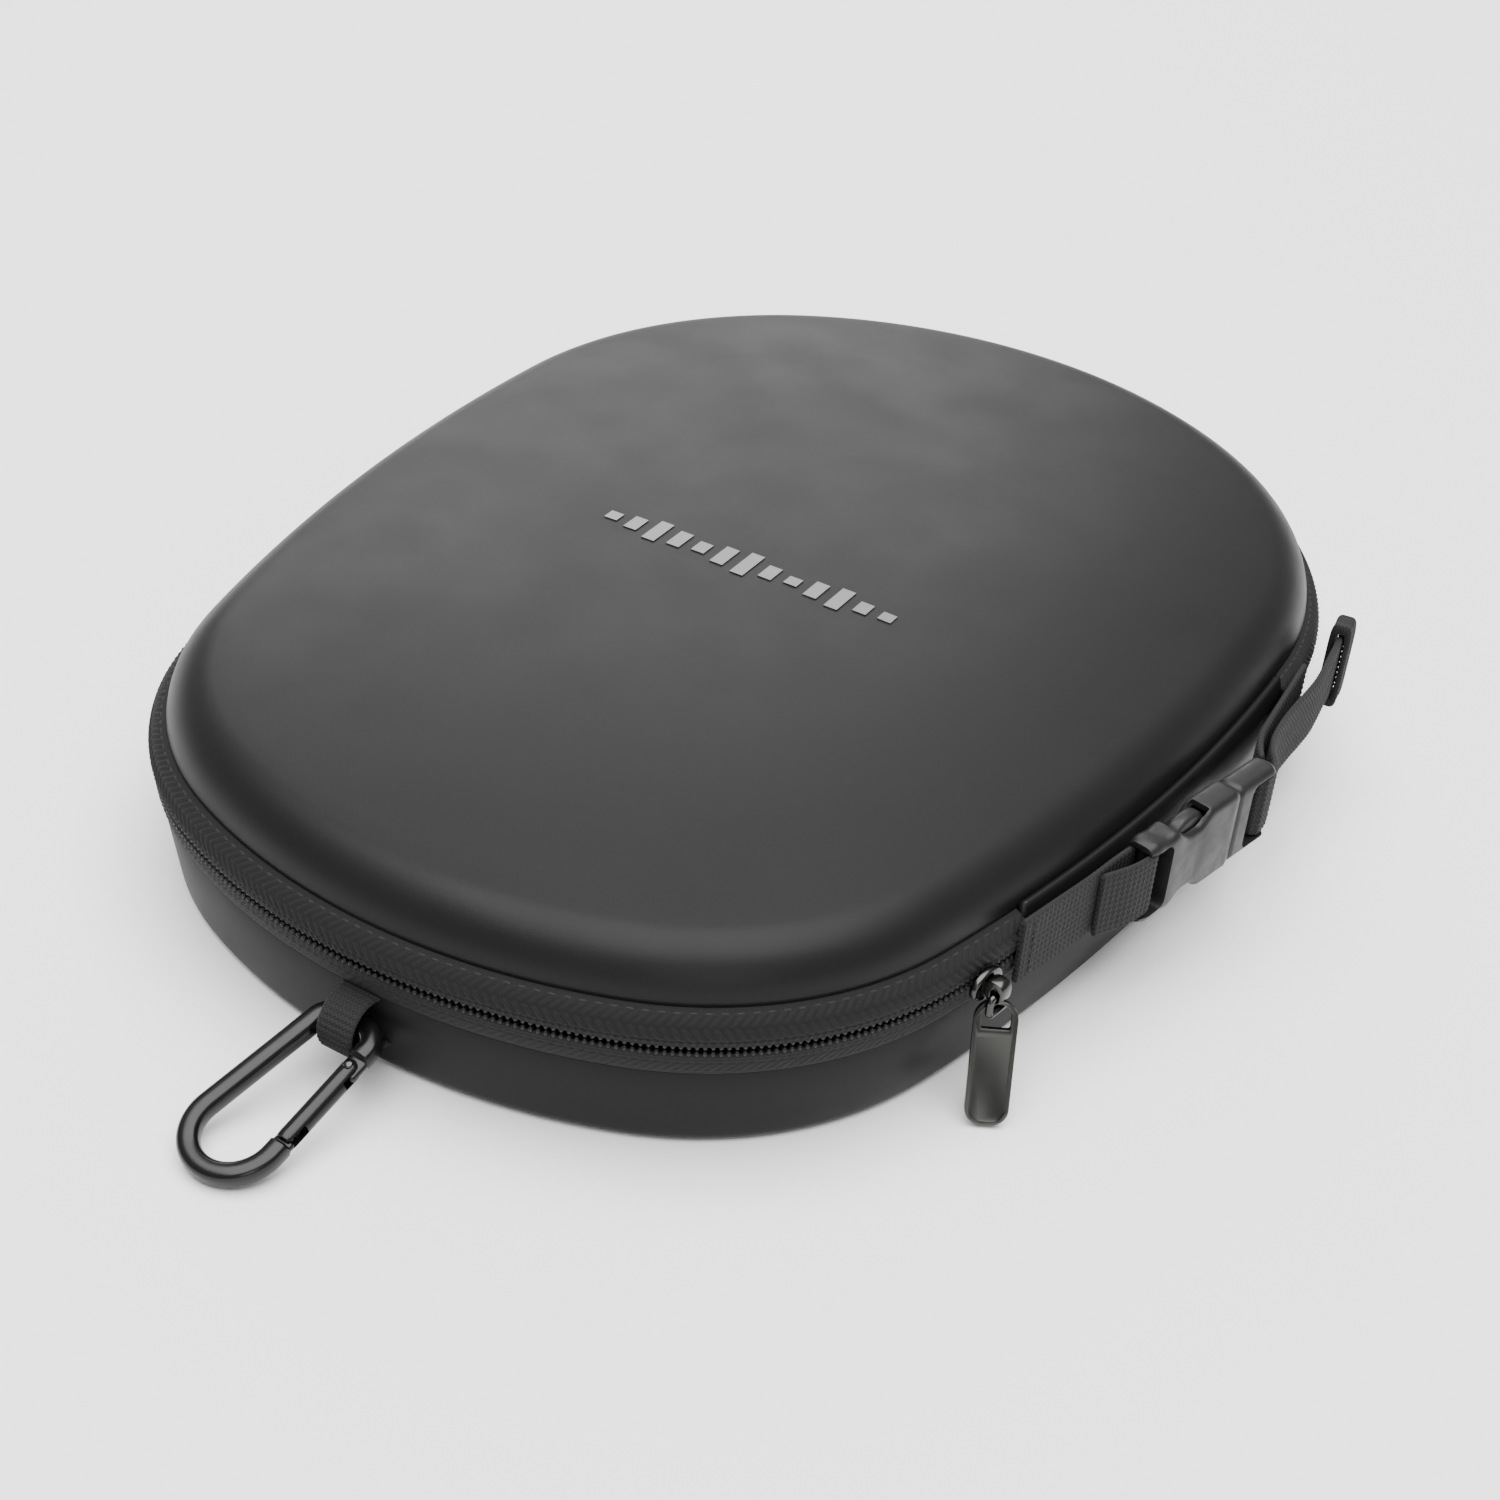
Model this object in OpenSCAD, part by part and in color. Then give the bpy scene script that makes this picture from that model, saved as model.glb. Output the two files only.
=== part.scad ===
// Headphone carrying case: a zipped clamshell of moulded foam with a buckled side strap and a carabiner.
// +X is the hinge side, -Y the front end with the carabiner, +Z up. The case lies on its base at z = 0.

/* [Outline] */
// Radius of the front end of the outline, seen from above
front_r = 121; // [118:0.5:124]
// Radius of the front corners
front_corner_r = 67.5; // [66:0.5:69]
// Radius of the two long sides
side_r = 407; // [395:1:420]
// Radius of the rear corners
rear_corner_r = 90; // [88:0.5:92]

/* [Shells] */
// Height of the line where the two rows of teeth meet
parting_z = 24.5; // [24:0.1:25]
// Height of the lid at its shoulder
shoulder_z = 41.7; // [41:0.1:42.5]
// Rise of the lid's top from the shoulder to the middle
crown = 4; // [3:0.1:4.5]
// Radius of the lid's shoulder
lid_r = 10.5; // [9.5:0.1:11]
// Radius of the base's lower edge
base_r = 3; // [2.5:0.1:4]
// How far the base's wall leans in from the teeth to the floor
base_draft = 3.7; // [3:0.1:4.5]
// Thickness of the outer skin
skin_t = 0.9; // [0.7:0.05:1]
// Thickness of the foam core
core_t = 4; // [3.5:0.1:4.2]
// Thickness of the lining
lining_t = 0.7; // [0.5:0.05:0.8]

/* [Zip] */
// Height of the upper tape, from the teeth to the lid's edge
upper_tape_h = 6.9; // [6.5:0.1:7.2]
// Height of the lower tape, from the teeth to the base's rim
lower_tape_h = 5.8; // [5.5:0.1:6]
// Length of the slider along the zip
slider_l = 8.5; // [8:0.5:10]
// Length of the pull tab
tab_l = 23; // [22:0.1:23]
// Width of the pull tab
tab_w = 7.8; // [7.5:0.1:8]

/* [Strap] */
// Width of the side strap's webbing
strap_w = 14; // [13.5:0.1:14.2]
// Thickness of the webbing
strap_t = 1.3; // [1.1:0.1:1.4]
// Height of the strap's centre line
strap_z = 26; // [25.5:0.1:26.5]
// Height of the side-release buckle
buckle_h = 18; // [17.6:0.1:18.4]
// Thickness of the buckle
buckle_t = 6.4; // [6.2:0.1:6.6]
// Length of the buckle's socket
socket_l = 28; // [28:0.5:29]

/* [Carabiner] */
// Length of the carabiner over all
carabiner_l = 40.2; // [39:0.1:41]
// Thickness of its rod
rod_d = 4; // [3.8:0.1:4.2]
// Width of the webbing loop that holds it
loop_w = 7.5; // [7:0.1:7.6]

/* [Hidden] */

arc_steps = 6;    // straight steps in each arc of the outline
round_fn = 48;    // segments on small round parts
slice_t = 0.02;   // thickness of the slices that shape a shell
layer_gap = 0.05; // air between two layers of one shell
fit_gap = 0.3;    // air between pieces that move apart

skin_black = [0.09, 0.09, 0.10];
foam_black = [0.05, 0.05, 0.05];
lining_black = [0.12, 0.12, 0.13];
tape_black = [0.07, 0.07, 0.08];
webbing_black = [0.11, 0.11, 0.12];
plastic_black = [0.14, 0.14, 0.15];
gunmetal = [0.40, 0.40, 0.38];
foil_silver = [0.80, 0.80, 0.82];

// ---- The outline: tangent arcs from the front end, round the +X side, to the rear end ----
arc_turn = [23, 52, 18, 53, 34];
function heading(i) = i == 0 ? 0 : heading(i - 1) + arc_turn[i - 1];
function on_arc(c, r, h) = c + r * [sin(h), -cos(h)];
function arc_start(i) = i == 0 ? [0, 0] : on_arc(arc_centre0(i - 1), arc_r(i - 1), heading(i));
function arc_centre0(i) = arc_start(i) - arc_r(i) * [sin(heading(i)), -cos(heading(i))];
function arc_r(i) = i == 4 ? arc_start(4)[0] / sin(heading(4)) : [front_r, front_corner_r, side_r, rear_corner_r][i];
half_length = (arc_centre0(4)[1] + arc_r(4)) / 2;
function arc_centre(i) = arc_centre0(i) - [0, half_length];
function inset_half(t) = [
  for (i = [0:4]) for (k = [0:arc_steps - 1])
    on_arc(arc_centre(i), arc_r(i) - t, heading(i) + arc_turn[i] * k / arc_steps)
];
function inset_outline(t) = concat(
  inset_half(t),
  [[0, half_length - t]],
  [for (i = [len(inset_half(t)) - 1:-1:1]) [-inset_half(t)[i][0], inset_half(t)[i][1]]]
);

// A ring that follows the outline, between two insets from it and two heights
module ring(inset0, inset1, z0, z1) translate([0, 0, z0]) linear_extrude(z1 - z0) difference() {
  polygon(inset_outline(inset0));
  polygon(inset_outline(inset1));
}

// A thin slice of the outline, for hull() to join into a shell's rounded form
module slice(inset, z) translate([0, 0, z]) linear_extrude(slice_t) polygon(inset_outline(inset));

// ---- The base's and the lid's forms at a depth t below the outer surface ----
base_rim_z = parting_z - lower_tape_h;
function base_wall_in(z) = base_draft * (parting_z - z) / parting_z;
module base_form(t, top) hull() {
  r = max(base_r - t, 0.5);
  slice(base_wall_in(t + r) + t + r, t);
  slice(base_wall_in(t + r) + t + 0.3 * r, t + 0.3 * r);
  slice(base_wall_in(t + r) + t, t + r);
  slice(base_wall_in(top) + t, top - slice_t);
}

lid_edge_in = 2.75;
lid_edge_z = parting_z + upper_tape_h;
crown_in = 40; // inset at which the lid's crown flattens out
module lid_form(t) hull() {
  r = max(lid_r - t, 0.5);
  slice(lid_edge_in + t, lid_edge_z - 1);
  for (a = [15:25:90])
    slice(lid_edge_in + t + r * (1 - cos(a)), shoulder_z - t - r * (1 - sin(a)) - slice_t);
  slice(crown_in, shoulder_z + crown - t - slice_t);
}

// A layer of a shell lies between the forms at two depths
module base_layer(t0, t1) difference() {
  base_form(t0, base_rim_z);
  base_form(t1, base_rim_z + 1);
}
module lid_layer(t0, t1) difference() {
  lid_form(t0);
  lid_form(t1);
  translate([-150, -150, lid_edge_z - 2]) cube([300, 300, 2]);
}

core_at = skin_t + layer_gap;
lining_at = core_at + core_t + layer_gap;
lining_in = lining_at + lining_t;

module base_skin() color(skin_black) base_layer(0, skin_t);
module base_core() color(foam_black) base_layer(core_at, core_at + core_t);
module base_lining() color(lining_black) base_layer(lining_at, lining_in);

// ---- The hinge side: the spine, which closes the gap in the zip ----
spine_y0 = -61;
spine_y1 = 38;
module spine_zone(grow) translate([70, spine_y0 - grow, 0]) cube([60, spine_y1 - spine_y0 + 2 * grow, 60]);

module hinge_spine() color(skin_black) intersection() {
  union() {
    ring(0.4, 3.2, base_rim_z + 0.1, lid_edge_z - 0.3);
    ring(0.7, 2.4, lid_edge_z - 0.35, 32.5);
    ring(1.1, 2.2, 32.4, 33.3);
  }
  spine_zone(0);
}

module lid_skin() color(skin_black) lid_layer(0, skin_t);
module lid_core() color(foam_black) lid_layer(core_at, core_at + core_t);
module lid_lining() color(lining_black) lid_layer(lining_at, lining_in);

// ---- Bindings over the linings' raw edges, zip tapes and coils ----
binding_t = 0.9;
base_lining_in = base_wall_in(base_rim_z - 3) + lining_in + 0.1;
lid_lining_in = lid_edge_in + lining_in + 0.3;
module base_binding() color(tape_black) ring(base_lining_in, base_lining_in + binding_t, 15.5, 20);
module lid_binding() color(tape_black) ring(lid_lining_in, lid_lining_in + binding_t, 29.8, 32.5);

module outside_spine() difference() {
  children();
  spine_zone(0.3);
}

module zip_tape_lower() color(tape_black) outside_spine() {
  ring(0.1, 0.9, base_rim_z + 0.8, parting_z - 0.2);
  ring(0.5, base_lining_in - 0.1, base_rim_z + 0.05, base_rim_z + 0.85);
}

module zip_tape_upper() color(tape_black) outside_spine() {
  ring(0, 0.9, parting_z + 0.2, parting_z + 1.5);
  ring(-0.35, 0.4, parting_z + 1.4, parting_z + 4.1);
  ring(0, 0.9, parting_z + 4, parting_z + 5.4);
  ring(0.8, 2, parting_z + 5.3, parting_z + 6.2);
  ring(1.8, lid_lining_in - 0.1, lid_edge_z - 0.85, lid_edge_z - 0.05);
}

coil_h = 1.9;
coil_in = 1;
module zip_coil_lower() color(plastic_black) outside_spine()
  ring(coil_in, coil_in + 1.9, parting_z - 0.15 - coil_h, parting_z - 0.15);
module zip_coil_upper() color(plastic_black) outside_spine()
  ring(coil_in, coil_in + 1.9, parting_z + 0.15, parting_z + 0.15 + coil_h);

// One block behind both coils at each end of the zip, sewn in under the strap's anchors
module zip_stops() color(plastic_black) {
  for (y = [spine_y0 + 1.4, spine_y1 - 3.9])
    intersection() {
      ring(3.4, 5.6, 22.2, 24.2);
      translate([70, y, 20]) cube([60, 2.5, 10]);
    }
}

// ---- Inside the lid: a mesh pocket over the front half and the elastic along its mouth ----
pocket_inset = 10.1;
pocket_z = 33.4;
pocket_mouth_y = 6;
module pocket_zone(y0, y1) translate([-150, y0, 0]) cube([300, y1 - y0, 60]);
module mesh_pocket() color(lining_black) intersection() {
  translate([0, 0, pocket_z]) linear_extrude(0.7) polygon(inset_outline(pocket_inset));
  pocket_zone(-150, pocket_mouth_y);
}
module pocket_elastic() color(tape_black) intersection() {
  translate([0, 0, pocket_z - 0.4]) linear_extrude(1.5) polygon(inset_outline(pocket_inset));
  pocket_zone(pocket_mouth_y + 0.05, pocket_mouth_y + 8);
}

// ---- A plain mark on the lid: a row of thin bars like a level meter ----
mark_heights = [3, 5, 8, 6, 4, 7, 9, 5, 3, 6, 8, 4, 3];
mark_pitch = 5.4;
mark_y = -10.4;
module lid_mark() color(foil_silver)
  for (i = [0:len(mark_heights) - 1])
    translate([(i - (len(mark_heights) - 1) / 2) * mark_pitch - 1.5, mark_y - mark_heights[i] / 2, shoulder_z + crown + 0.02])
      cube([3, mark_heights[i], 0.15]);

// ---- Zip slider: it rides round the +X front corner ----
slider_angle = -9.5;
slider_out = 0.4;
corner = arc_centre(1);
module at_slider() translate([corner[0], corner[1], parting_z]) rotate([0, 0, slider_angle])
  translate([front_corner_r + slider_out, 0, 0]) children();

plate_h = 6;
bridge_x = 4;
link_pin_r = 0.7;
module oval_plate(x0, t, h) translate([x0, 0, 0]) rotate([0, 90, 0]) linear_extrude(t)
  polygon([for (a = [0:15:345]) [h / 2 * sin(a), slider_l / 2 * cos(a)]]);

module zip_slider() color(gunmetal) at_slider() {
  difference() {
    union() {
      oval_plate(1.1, 1.5, plate_h);
      translate([2.5, -1.5, -2.05]) cube([3.9, 3, 4.4]);
    }
    translate([pivot_a[0], 0, pivot_a[1]]) rotate([90, 0, 0]) cylinder(h = 10, r = 1, center = true, $fn = round_fn);
    translate([pivot_a[0] - 1, -5, pivot_a[1]]) cube([2, 10, 1.6]);
  }
  translate([-4.9, 1 - slider_l / 2, -3.5]) cube([1.1, slider_l - 2, 3.2]);
}

// The link hangs in the slider's bridge by its upper bar and carries the tab on its lower bar
pivot_a = [bridge_x + 0.9, -0.6];
link_l = 3.6;
link_w = 5.2;
module slider_link() color(gunmetal) at_slider() translate([pivot_a[0], 0, pivot_a[1]]) {
  for (z = [0, -link_l]) translate([0, 0, z]) rotate([90, 0, 0])
    cylinder(h = link_w, r = link_pin_r, center = true, $fn = round_fn);
  translate([0, -link_w / 2, -link_l]) cylinder(h = link_l, r = link_pin_r, $fn = round_fn);
  for (z = [0, -link_l]) translate([0, -link_w / 2, z]) sphere(r = link_pin_r, $fn = round_fn);
}

// The tab is turned on the link to face the front corner, and leans out until its foot is near the table
tab_yaw = -51.5;
tab_lean = -22;
tab_t = 1.4;
tab_head = 1.85; // from the tab's pivot to its top edge
module pull_tab() color(gunmetal) at_slider()
  translate([pivot_a[0], 0, pivot_a[1] - link_l]) rotate([0, tab_lean, tab_yaw]) difference() {
    union() {
      translate([-tab_t / 2, -tab_w / 2, tab_head - tab_l + tab_w / 2]) cube([tab_t, tab_w, tab_l - tab_w]);
      for (z = [tab_head - tab_w / 2, tab_head - tab_l + tab_w / 2]) translate([0, 0, z]) rotate([0, 90, 0])
        cylinder(h = tab_t, r = tab_w / 2, center = true, $fn = round_fn);
    }
    translate([-tab_t, -2.7, -3.4]) cube([2 * tab_t, 5.4, 4.6]);
  }

// ---- Side strap: webbing bands standing on edge, each a path seen from above ----
function reversed(list) = [for (i = [len(list) - 1:-1:0]) list[i]];
function unit(v) = v / norm(v);
function left_of(v) = [-v[1], v[0]];
function path_dir(p, i) = unit(p[min(i + 1, len(p) - 1)] - p[max(i - 1, 0)]);
function beside(p, d) = [for (i = [0:len(p) - 1]) p[i] + d * left_of(path_dir(p, i))];
module band(path, w = strap_w, z = strap_z, t = strap_t) translate([0, 0, z - w / 2]) linear_extrude(w)
  polygon(concat(beside(path, t / 2), reversed(beside(path, -t / 2))));

buckle_at = [99.6, -34];
buckle_yaw = -12;
strap_dir = [-sin(buckle_yaw), cos(buckle_yaw)];
strap_side = [cos(buckle_yaw), sin(buckle_yaw)];
module at_buckle() translate([buckle_at[0], buckle_at[1], strap_z]) rotate([0, 0, buckle_yaw]) children();
function from_buckle(p) = buckle_at + p[0] * strap_side + p[1] * strap_dir;

bar_x = 1.15;    // half the thickness of a buckle's webbing bar
bar_near = 1.4;  // where the socket's bar lies along the buckle
bar_far = 39.2;  // where the plug's bar lies
wrap_r = bar_x + 0.25 + strap_t / 2;
function wrap(bar_y, a0, a1) = [
  for (k = [0:8]) from_buckle([wrap_r * cos(a0 + (a1 - a0) * k / 8), bar_y + wrap_r * sin(a0 + (a1 - a0) * k / 8)])
];

// From the front anchor, round the socket's bar and back to the fold that is stitched down
front_path = concat(
  [[91.3, -65], [93.2, -56], [95.3, -46]],
  [from_buckle([-wrap_r, -4])],
  wrap(bar_near, 180, 0),
  [from_buckle([wrap_r - 0.4, -4])],
  [[97.1, -44.5]]
);
module front_strap() color(webbing_black) band(front_path);

// From the plug's bar to the rear anchor
module rear_strap() color(webbing_black) band([[106.9, 10.8], [105.4, 18], [103.2, 28], [101.6, 37], [100.8, 46]]);

// Round the plug's bar and out past the rear corner
tail_bend = [105, 44];
tail_end = [102.7, 64];
tail_path = concat(
  [from_buckle([-wrap_r, bar_far + 5])],
  wrap(bar_far, 180, 360),
  [[109.9, 13], [107.6, 26], tail_bend, tail_end]
);
module strap_tail() color(webbing_black) band(tail_path);

// The keeper: a short band round the tail's end
tail_dir = unit(tail_end - tail_bend);
tail_yaw = atan2(-tail_dir[0], tail_dir[1]);
keeper_l = 5;
module strap_keeper() color(webbing_black)
  translate([tail_end[0], tail_end[1], strap_z]) rotate([0, 0, tail_yaw]) translate([0, -1.6, 0]) difference() {
    translate([-2.4, -keeper_l / 2, -9.8]) cube([4.8, keeper_l, 19.6]);
    translate([-strap_t / 2 - 0.35, -keeper_l, -strap_w / 2 - 0.35]) cube([strap_t + 0.7, 2 * keeper_l, strap_w + 0.7]);
  }

// ---- Side-release buckle, along its own +Y from the socket's bar to the plug's bar ----
wall = 1.3;
window_y0 = 8.4;
window_y1 = 18.6;
slot_h = strap_w + 0.6;
module rounded_block(x, y0, y1, h, r) {
  translate([-x / 2, y0, -h / 2 + r]) cube([x, y1 - y0, h - 2 * r]);
  translate([-x / 2 + r, y0, -h / 2]) cube([x - 2 * r, y1 - y0, h]);
  for (sx = [-1, 1]) for (sz = [-1, 1]) translate([sx * (x / 2 - r), y0, sz * (h / 2 - r)])
    rotate([-90, 0, 0]) cylinder(h = y1 - y0, r = r, $fn = round_fn);
}
module buckle_socket() color(plastic_black) at_buckle() {
  difference() {
    rounded_block(buckle_t, 0, socket_l, buckle_h, 1.2);
    translate([-buckle_t, -1, -slot_h / 2]) cube([2 * buckle_t, 7.6, slot_h]);
    translate([-buckle_t / 2 + wall, 8.2, -buckle_h / 2 + wall]) cube([buckle_t - 2 * wall, socket_l, buckle_h - 2 * wall]);
    for (s = [-1, 1]) translate([-buckle_t / 2 + 1, window_y0, s > 0 ? buckle_h / 2 - wall - 0.1 : -buckle_h / 2 - 1])
      cube([buckle_t - 2, window_y1 - window_y0, wall + 1.1]);
  }
  translate([0, bar_near, 0]) cylinder(h = slot_h + 0.4, r = bar_x, center = true, $fn = round_fn);
}

plug_y0 = socket_l + fit_gap;
tongue_t = buckle_t - 2 * wall - 2 * fit_gap;
module buckle_plug() color(plastic_black) at_buckle() {
  difference() {
    rounded_block(buckle_t - 0.4, plug_y0, bar_far + 2.4, buckle_h - 0.6, 1.2);
    translate([-buckle_t, plug_y0 + 4.2, -slot_h / 2]) cube([2 * buckle_t, 20, slot_h]);
  }
  translate([0, bar_far, 0]) cylinder(h = slot_h + 0.4, r = bar_x, center = true, $fn = round_fn);
  translate([-tongue_t / 2, 9, -0.9]) cube([tongue_t, plug_y0 - 8.9, 1.8]);
  for (s = [-1, 1]) translate([-tongue_t / 2, plug_y0 - 2.2, s * 4.4 - 1.9]) cube([tongue_t, 2.3, 3.8]);
}

// A prong: a beam from the plug's shoulder to a button that fills the socket's side window
prong_root_y = plug_y0 - 2.6;
module prong(s) at_buckle() {
  translate([-tongue_t / 2, 9.2, s > 0 ? 3.3 : -5.5]) cube([tongue_t, prong_root_y - 9.2, 2.2]);
  translate([-tongue_t / 2, window_y0 + fit_gap, s > 0 ? 5.4 : -7.3]) cube([tongue_t, 9.2, 1.9]);
  translate([-tongue_t / 2, window_y0 + fit_gap + 0.5, s > 0 ? 7.2 : -8.9]) cube([tongue_t, 8.4, 1.7]);
}
module prong_upper() color(plastic_black) prong(1);
module prong_lower() color(plastic_black) prong(-1);

// ---- Carabiner, flat in its own XY plane with +Y towards its wide end, hung in the webbing loop ----
rod_r = rod_d / 2;
bar_half = 2.2;      // half the straight bar at the narrow end
narrow_r = 4;        // radius of the narrow end's corners
wide_r = 8.25;
wide_c = [bar_half + narrow_r - wide_r, carabiner_l - rod_d - wide_r];
loop_at = [-0.5, -135.6, 12.5];
carabiner_yaw = -3.5;
carabiner_pitch = asin((loop_at[2] - rod_r - 0.3) / (carabiner_l - rod_d));
module at_carabiner() translate(loop_at) rotate([carabiner_pitch, 0, 0]) rotate([0, 0, 180 + carabiner_yaw])
  mirror([1, 0, 0]) children();

spine_vec = wide_c - [-bar_half, narrow_r];
spine_tilt = atan2(spine_vec[0], spine_vec[1]);
spine_turn = asin((wide_r - narrow_r) / norm(spine_vec)) - spine_tilt; // lean of the spine side from +Y
gate_x = bar_half + narrow_r;
rivet_y = 8.2;
nose_y = wide_c[1] - 2.2;

function arc_pts(c, r, a0, a1, n) = [for (k = [0:n]) c + r * [cos(a0 + (a1 - a0) * k / n), sin(a0 + (a1 - a0) * k / n)]];
rod_path = concat(
  [[gate_x, rivet_y + 2.2]],
  arc_pts([bar_half, narrow_r], narrow_r, 0, -90, 8),
  arc_pts([-bar_half, narrow_r], narrow_r, -90, spine_turn - 180, 8),
  arc_pts(wide_c, wide_r, 180 + spine_turn, 0, 20),
  [[gate_x, nose_y - 1.6]]
);
module rod(half_w, half_h) translate([0, 0, -half_h]) linear_extrude(2 * half_h)
  polygon(concat(beside(rod_path, half_w), reversed(beside(rod_path, -half_w))));

// The rod's section is a cross of two slabs, close to its flattened round
module carabiner_body() color(plastic_black) at_carabiner() difference() {
  union() {
    rod(rod_r, 0.55 * rod_r);
    rod(0.64 * rod_r, rod_r);
  }
  for (s = [-1, 1]) translate([gate_x - 5, rivet_y - 2.6, s > 0 ? 0.9 : -5.9]) cube([10, 10, 5]);
  translate([gate_x, rivet_y, 0]) cylinder(h = 10, r = 0.95, center = true, $fn = round_fn);
  for (s = [-1, 1]) translate([gate_x - 5, nose_y - 6, s > 0 ? 0.9 : -5.9]) cube([10, 6.2, 5]);
}

module gate_rivet() color(gunmetal) at_carabiner() translate([gate_x, rivet_y, 0])
  cylinder(h = rod_d + 0.5, r = 0.9, center = true, $fn = round_fn);

gate_r = rod_r - 0.05;
module carabiner_gate() color(plastic_black) at_carabiner() difference() {
  union() {
    rod_like([gate_x, rivet_y], nose_y - 0.5 - rivet_y);
    translate([gate_x, rivet_y, 0]) sphere(r = gate_r, $fn = round_fn);
  }
  translate([gate_x - 5, rivet_y - 5, -1.25]) cube([10, 8.4, 2.5]);
  translate([gate_x - 5, nose_y - 4.6, -1.25]) cube([10, 8, 2.5]);
  translate([gate_x, rivet_y, 0]) cylinder(h = 10, r = 0.95, center = true, $fn = round_fn);
  translate([gate_x, nose_y - 3, 0]) cylinder(h = 10, r = 0.62, center = true, $fn = round_fn);
}
module rod_like(p, l) translate([p[0], p[1], 0]) rotate([-90, 0, 0]) cylinder(h = l, r = gate_r, $fn = round_fn);

// The pin across the gate's slot, which drops behind the nose
module gate_nose_pin() color(gunmetal) at_carabiner() translate([gate_x, nose_y - 3, 0])
  cylinder(h = 2 * gate_r - 0.4, r = 0.6, center = true, $fn = round_fn);

// ---- The webbing loop on the base's front wall ----
loop_in = 4.9;
loop_t = 1.2;
module carabiner_loop() color(webbing_black) translate([loop_at[0], loop_at[1], loop_at[2]]) rotate([0, 90, 0]) {
  rotate([0, 0, 180]) rotate_extrude(angle = 180, $fn = 96) translate([loop_in, -loop_w / 2]) square([loop_t, loop_w]);
  for (s = [-1, 1]) translate([s > 0 ? loop_in : -loop_in - loop_t, 0, -loop_w / 2]) cube([loop_t, 4, loop_w]);
}

base_skin();
base_core();
base_lining();
base_binding();
zip_tape_lower();
zip_coil_lower();
zip_stops();
hinge_spine();
carabiner_loop();
front_strap();
rear_strap();
buckle_socket();
lid_skin();
lid_core();
lid_lining();
lid_binding();
zip_tape_upper();
zip_coil_upper();
mesh_pocket();
pocket_elastic();
lid_mark();
zip_slider();
slider_link();
pull_tab();
carabiner_body();
gate_rivet();
carabiner_gate();
gate_nose_pin();
buckle_plug();
prong_upper();
prong_lower();
strap_tail();
strap_keeper();
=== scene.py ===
"""Headphone carrying case: the visual model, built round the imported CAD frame.

Lengths in the tables and functions are millimetres in the frame's own axes, and MM turns them into metres when a
mesh is made. The case's outline, seen from above, is a chain of tangent arcs, and most pieces follow it: a profile
is a list of (out, z) points, where out is the distance outside the outline and z the height.
"""

import math

import bmesh
import bpy
import numpy as np
from mathutils import Matrix, Vector


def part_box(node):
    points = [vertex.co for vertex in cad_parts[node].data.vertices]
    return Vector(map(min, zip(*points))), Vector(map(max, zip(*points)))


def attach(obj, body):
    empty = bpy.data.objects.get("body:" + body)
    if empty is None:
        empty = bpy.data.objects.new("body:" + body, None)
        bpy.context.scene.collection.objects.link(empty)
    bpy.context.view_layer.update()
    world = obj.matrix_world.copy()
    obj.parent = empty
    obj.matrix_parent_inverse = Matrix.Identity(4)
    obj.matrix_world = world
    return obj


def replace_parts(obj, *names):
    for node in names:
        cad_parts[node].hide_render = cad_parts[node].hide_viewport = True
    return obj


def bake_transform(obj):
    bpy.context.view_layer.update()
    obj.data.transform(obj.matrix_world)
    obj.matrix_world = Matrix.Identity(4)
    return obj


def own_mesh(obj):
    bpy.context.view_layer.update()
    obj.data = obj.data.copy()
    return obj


MM = 0.001
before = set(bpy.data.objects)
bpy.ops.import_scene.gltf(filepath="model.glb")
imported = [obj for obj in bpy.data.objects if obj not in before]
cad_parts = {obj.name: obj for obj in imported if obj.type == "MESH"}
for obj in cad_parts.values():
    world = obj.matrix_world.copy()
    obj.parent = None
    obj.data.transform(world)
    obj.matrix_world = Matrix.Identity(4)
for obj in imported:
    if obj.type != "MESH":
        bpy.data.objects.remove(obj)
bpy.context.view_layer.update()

# ---- The outline ----
ARC_TURNS = [23, 52, 18, 53, 34]
ARC_RADII = [121, 67.5, 407, 90]


def arc_chain():
    """Each arc of the +X half as (centre x, centre y, radius, first heading, length)."""
    arcs, at, heading = [], np.array([0.0, 0.0]), 0.0
    for i, turn in enumerate(ARC_TURNS):
        away = np.array([math.sin(math.radians(heading)), -math.cos(math.radians(heading))])
        radius = ARC_RADII[i] if i < len(ARC_RADII) else at[0] / away[0]
        centre = at - radius * away
        arcs.append([centre[0], centre[1], radius, heading, radius * math.radians(turn)])
        heading += turn
        at = centre + radius * np.array([math.sin(math.radians(heading)), -math.cos(math.radians(heading))])
    half = at[1] / 2
    for arc in arcs:
        arc[1] -= half
    return arcs


ARCS = arc_chain()
HALF_RUN = sum(a[4] for a in ARCS)
RUN = 2 * HALF_RUN  # once round the case


def outline(s, out=0.0):
    """Point(s) at run s from the front's middle, counter-clockwise from above, and the outward direction(s)."""
    s = np.mod(np.atleast_1d(np.asarray(s, float)), RUN)
    mirrored = s > HALF_RUN
    t = np.where(mirrored, RUN - s, s)
    xy, away = np.zeros((len(t), 2)), np.zeros((len(t), 2))
    start = 0.0
    for k, (cx, cy, r, h, run) in enumerate(ARCS):
        last = k == len(ARCS) - 1
        on = (t >= start - 1e-9) & ((t < start + run) | last)
        a = np.radians(h) + (t[on] - start) / r
        d = np.stack([np.sin(a), -np.cos(a)], 1)
        o = np.broadcast_to(np.asarray(out, float), t.shape)[on]
        xy[on] = np.array([cx, cy]) + (r + o)[:, None] * d
        away[on] = d
        start += run
    sign = np.where(mirrored, -1.0, 1.0)
    xy[:, 0] *= sign
    away[:, 0] *= sign
    return xy, away


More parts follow.
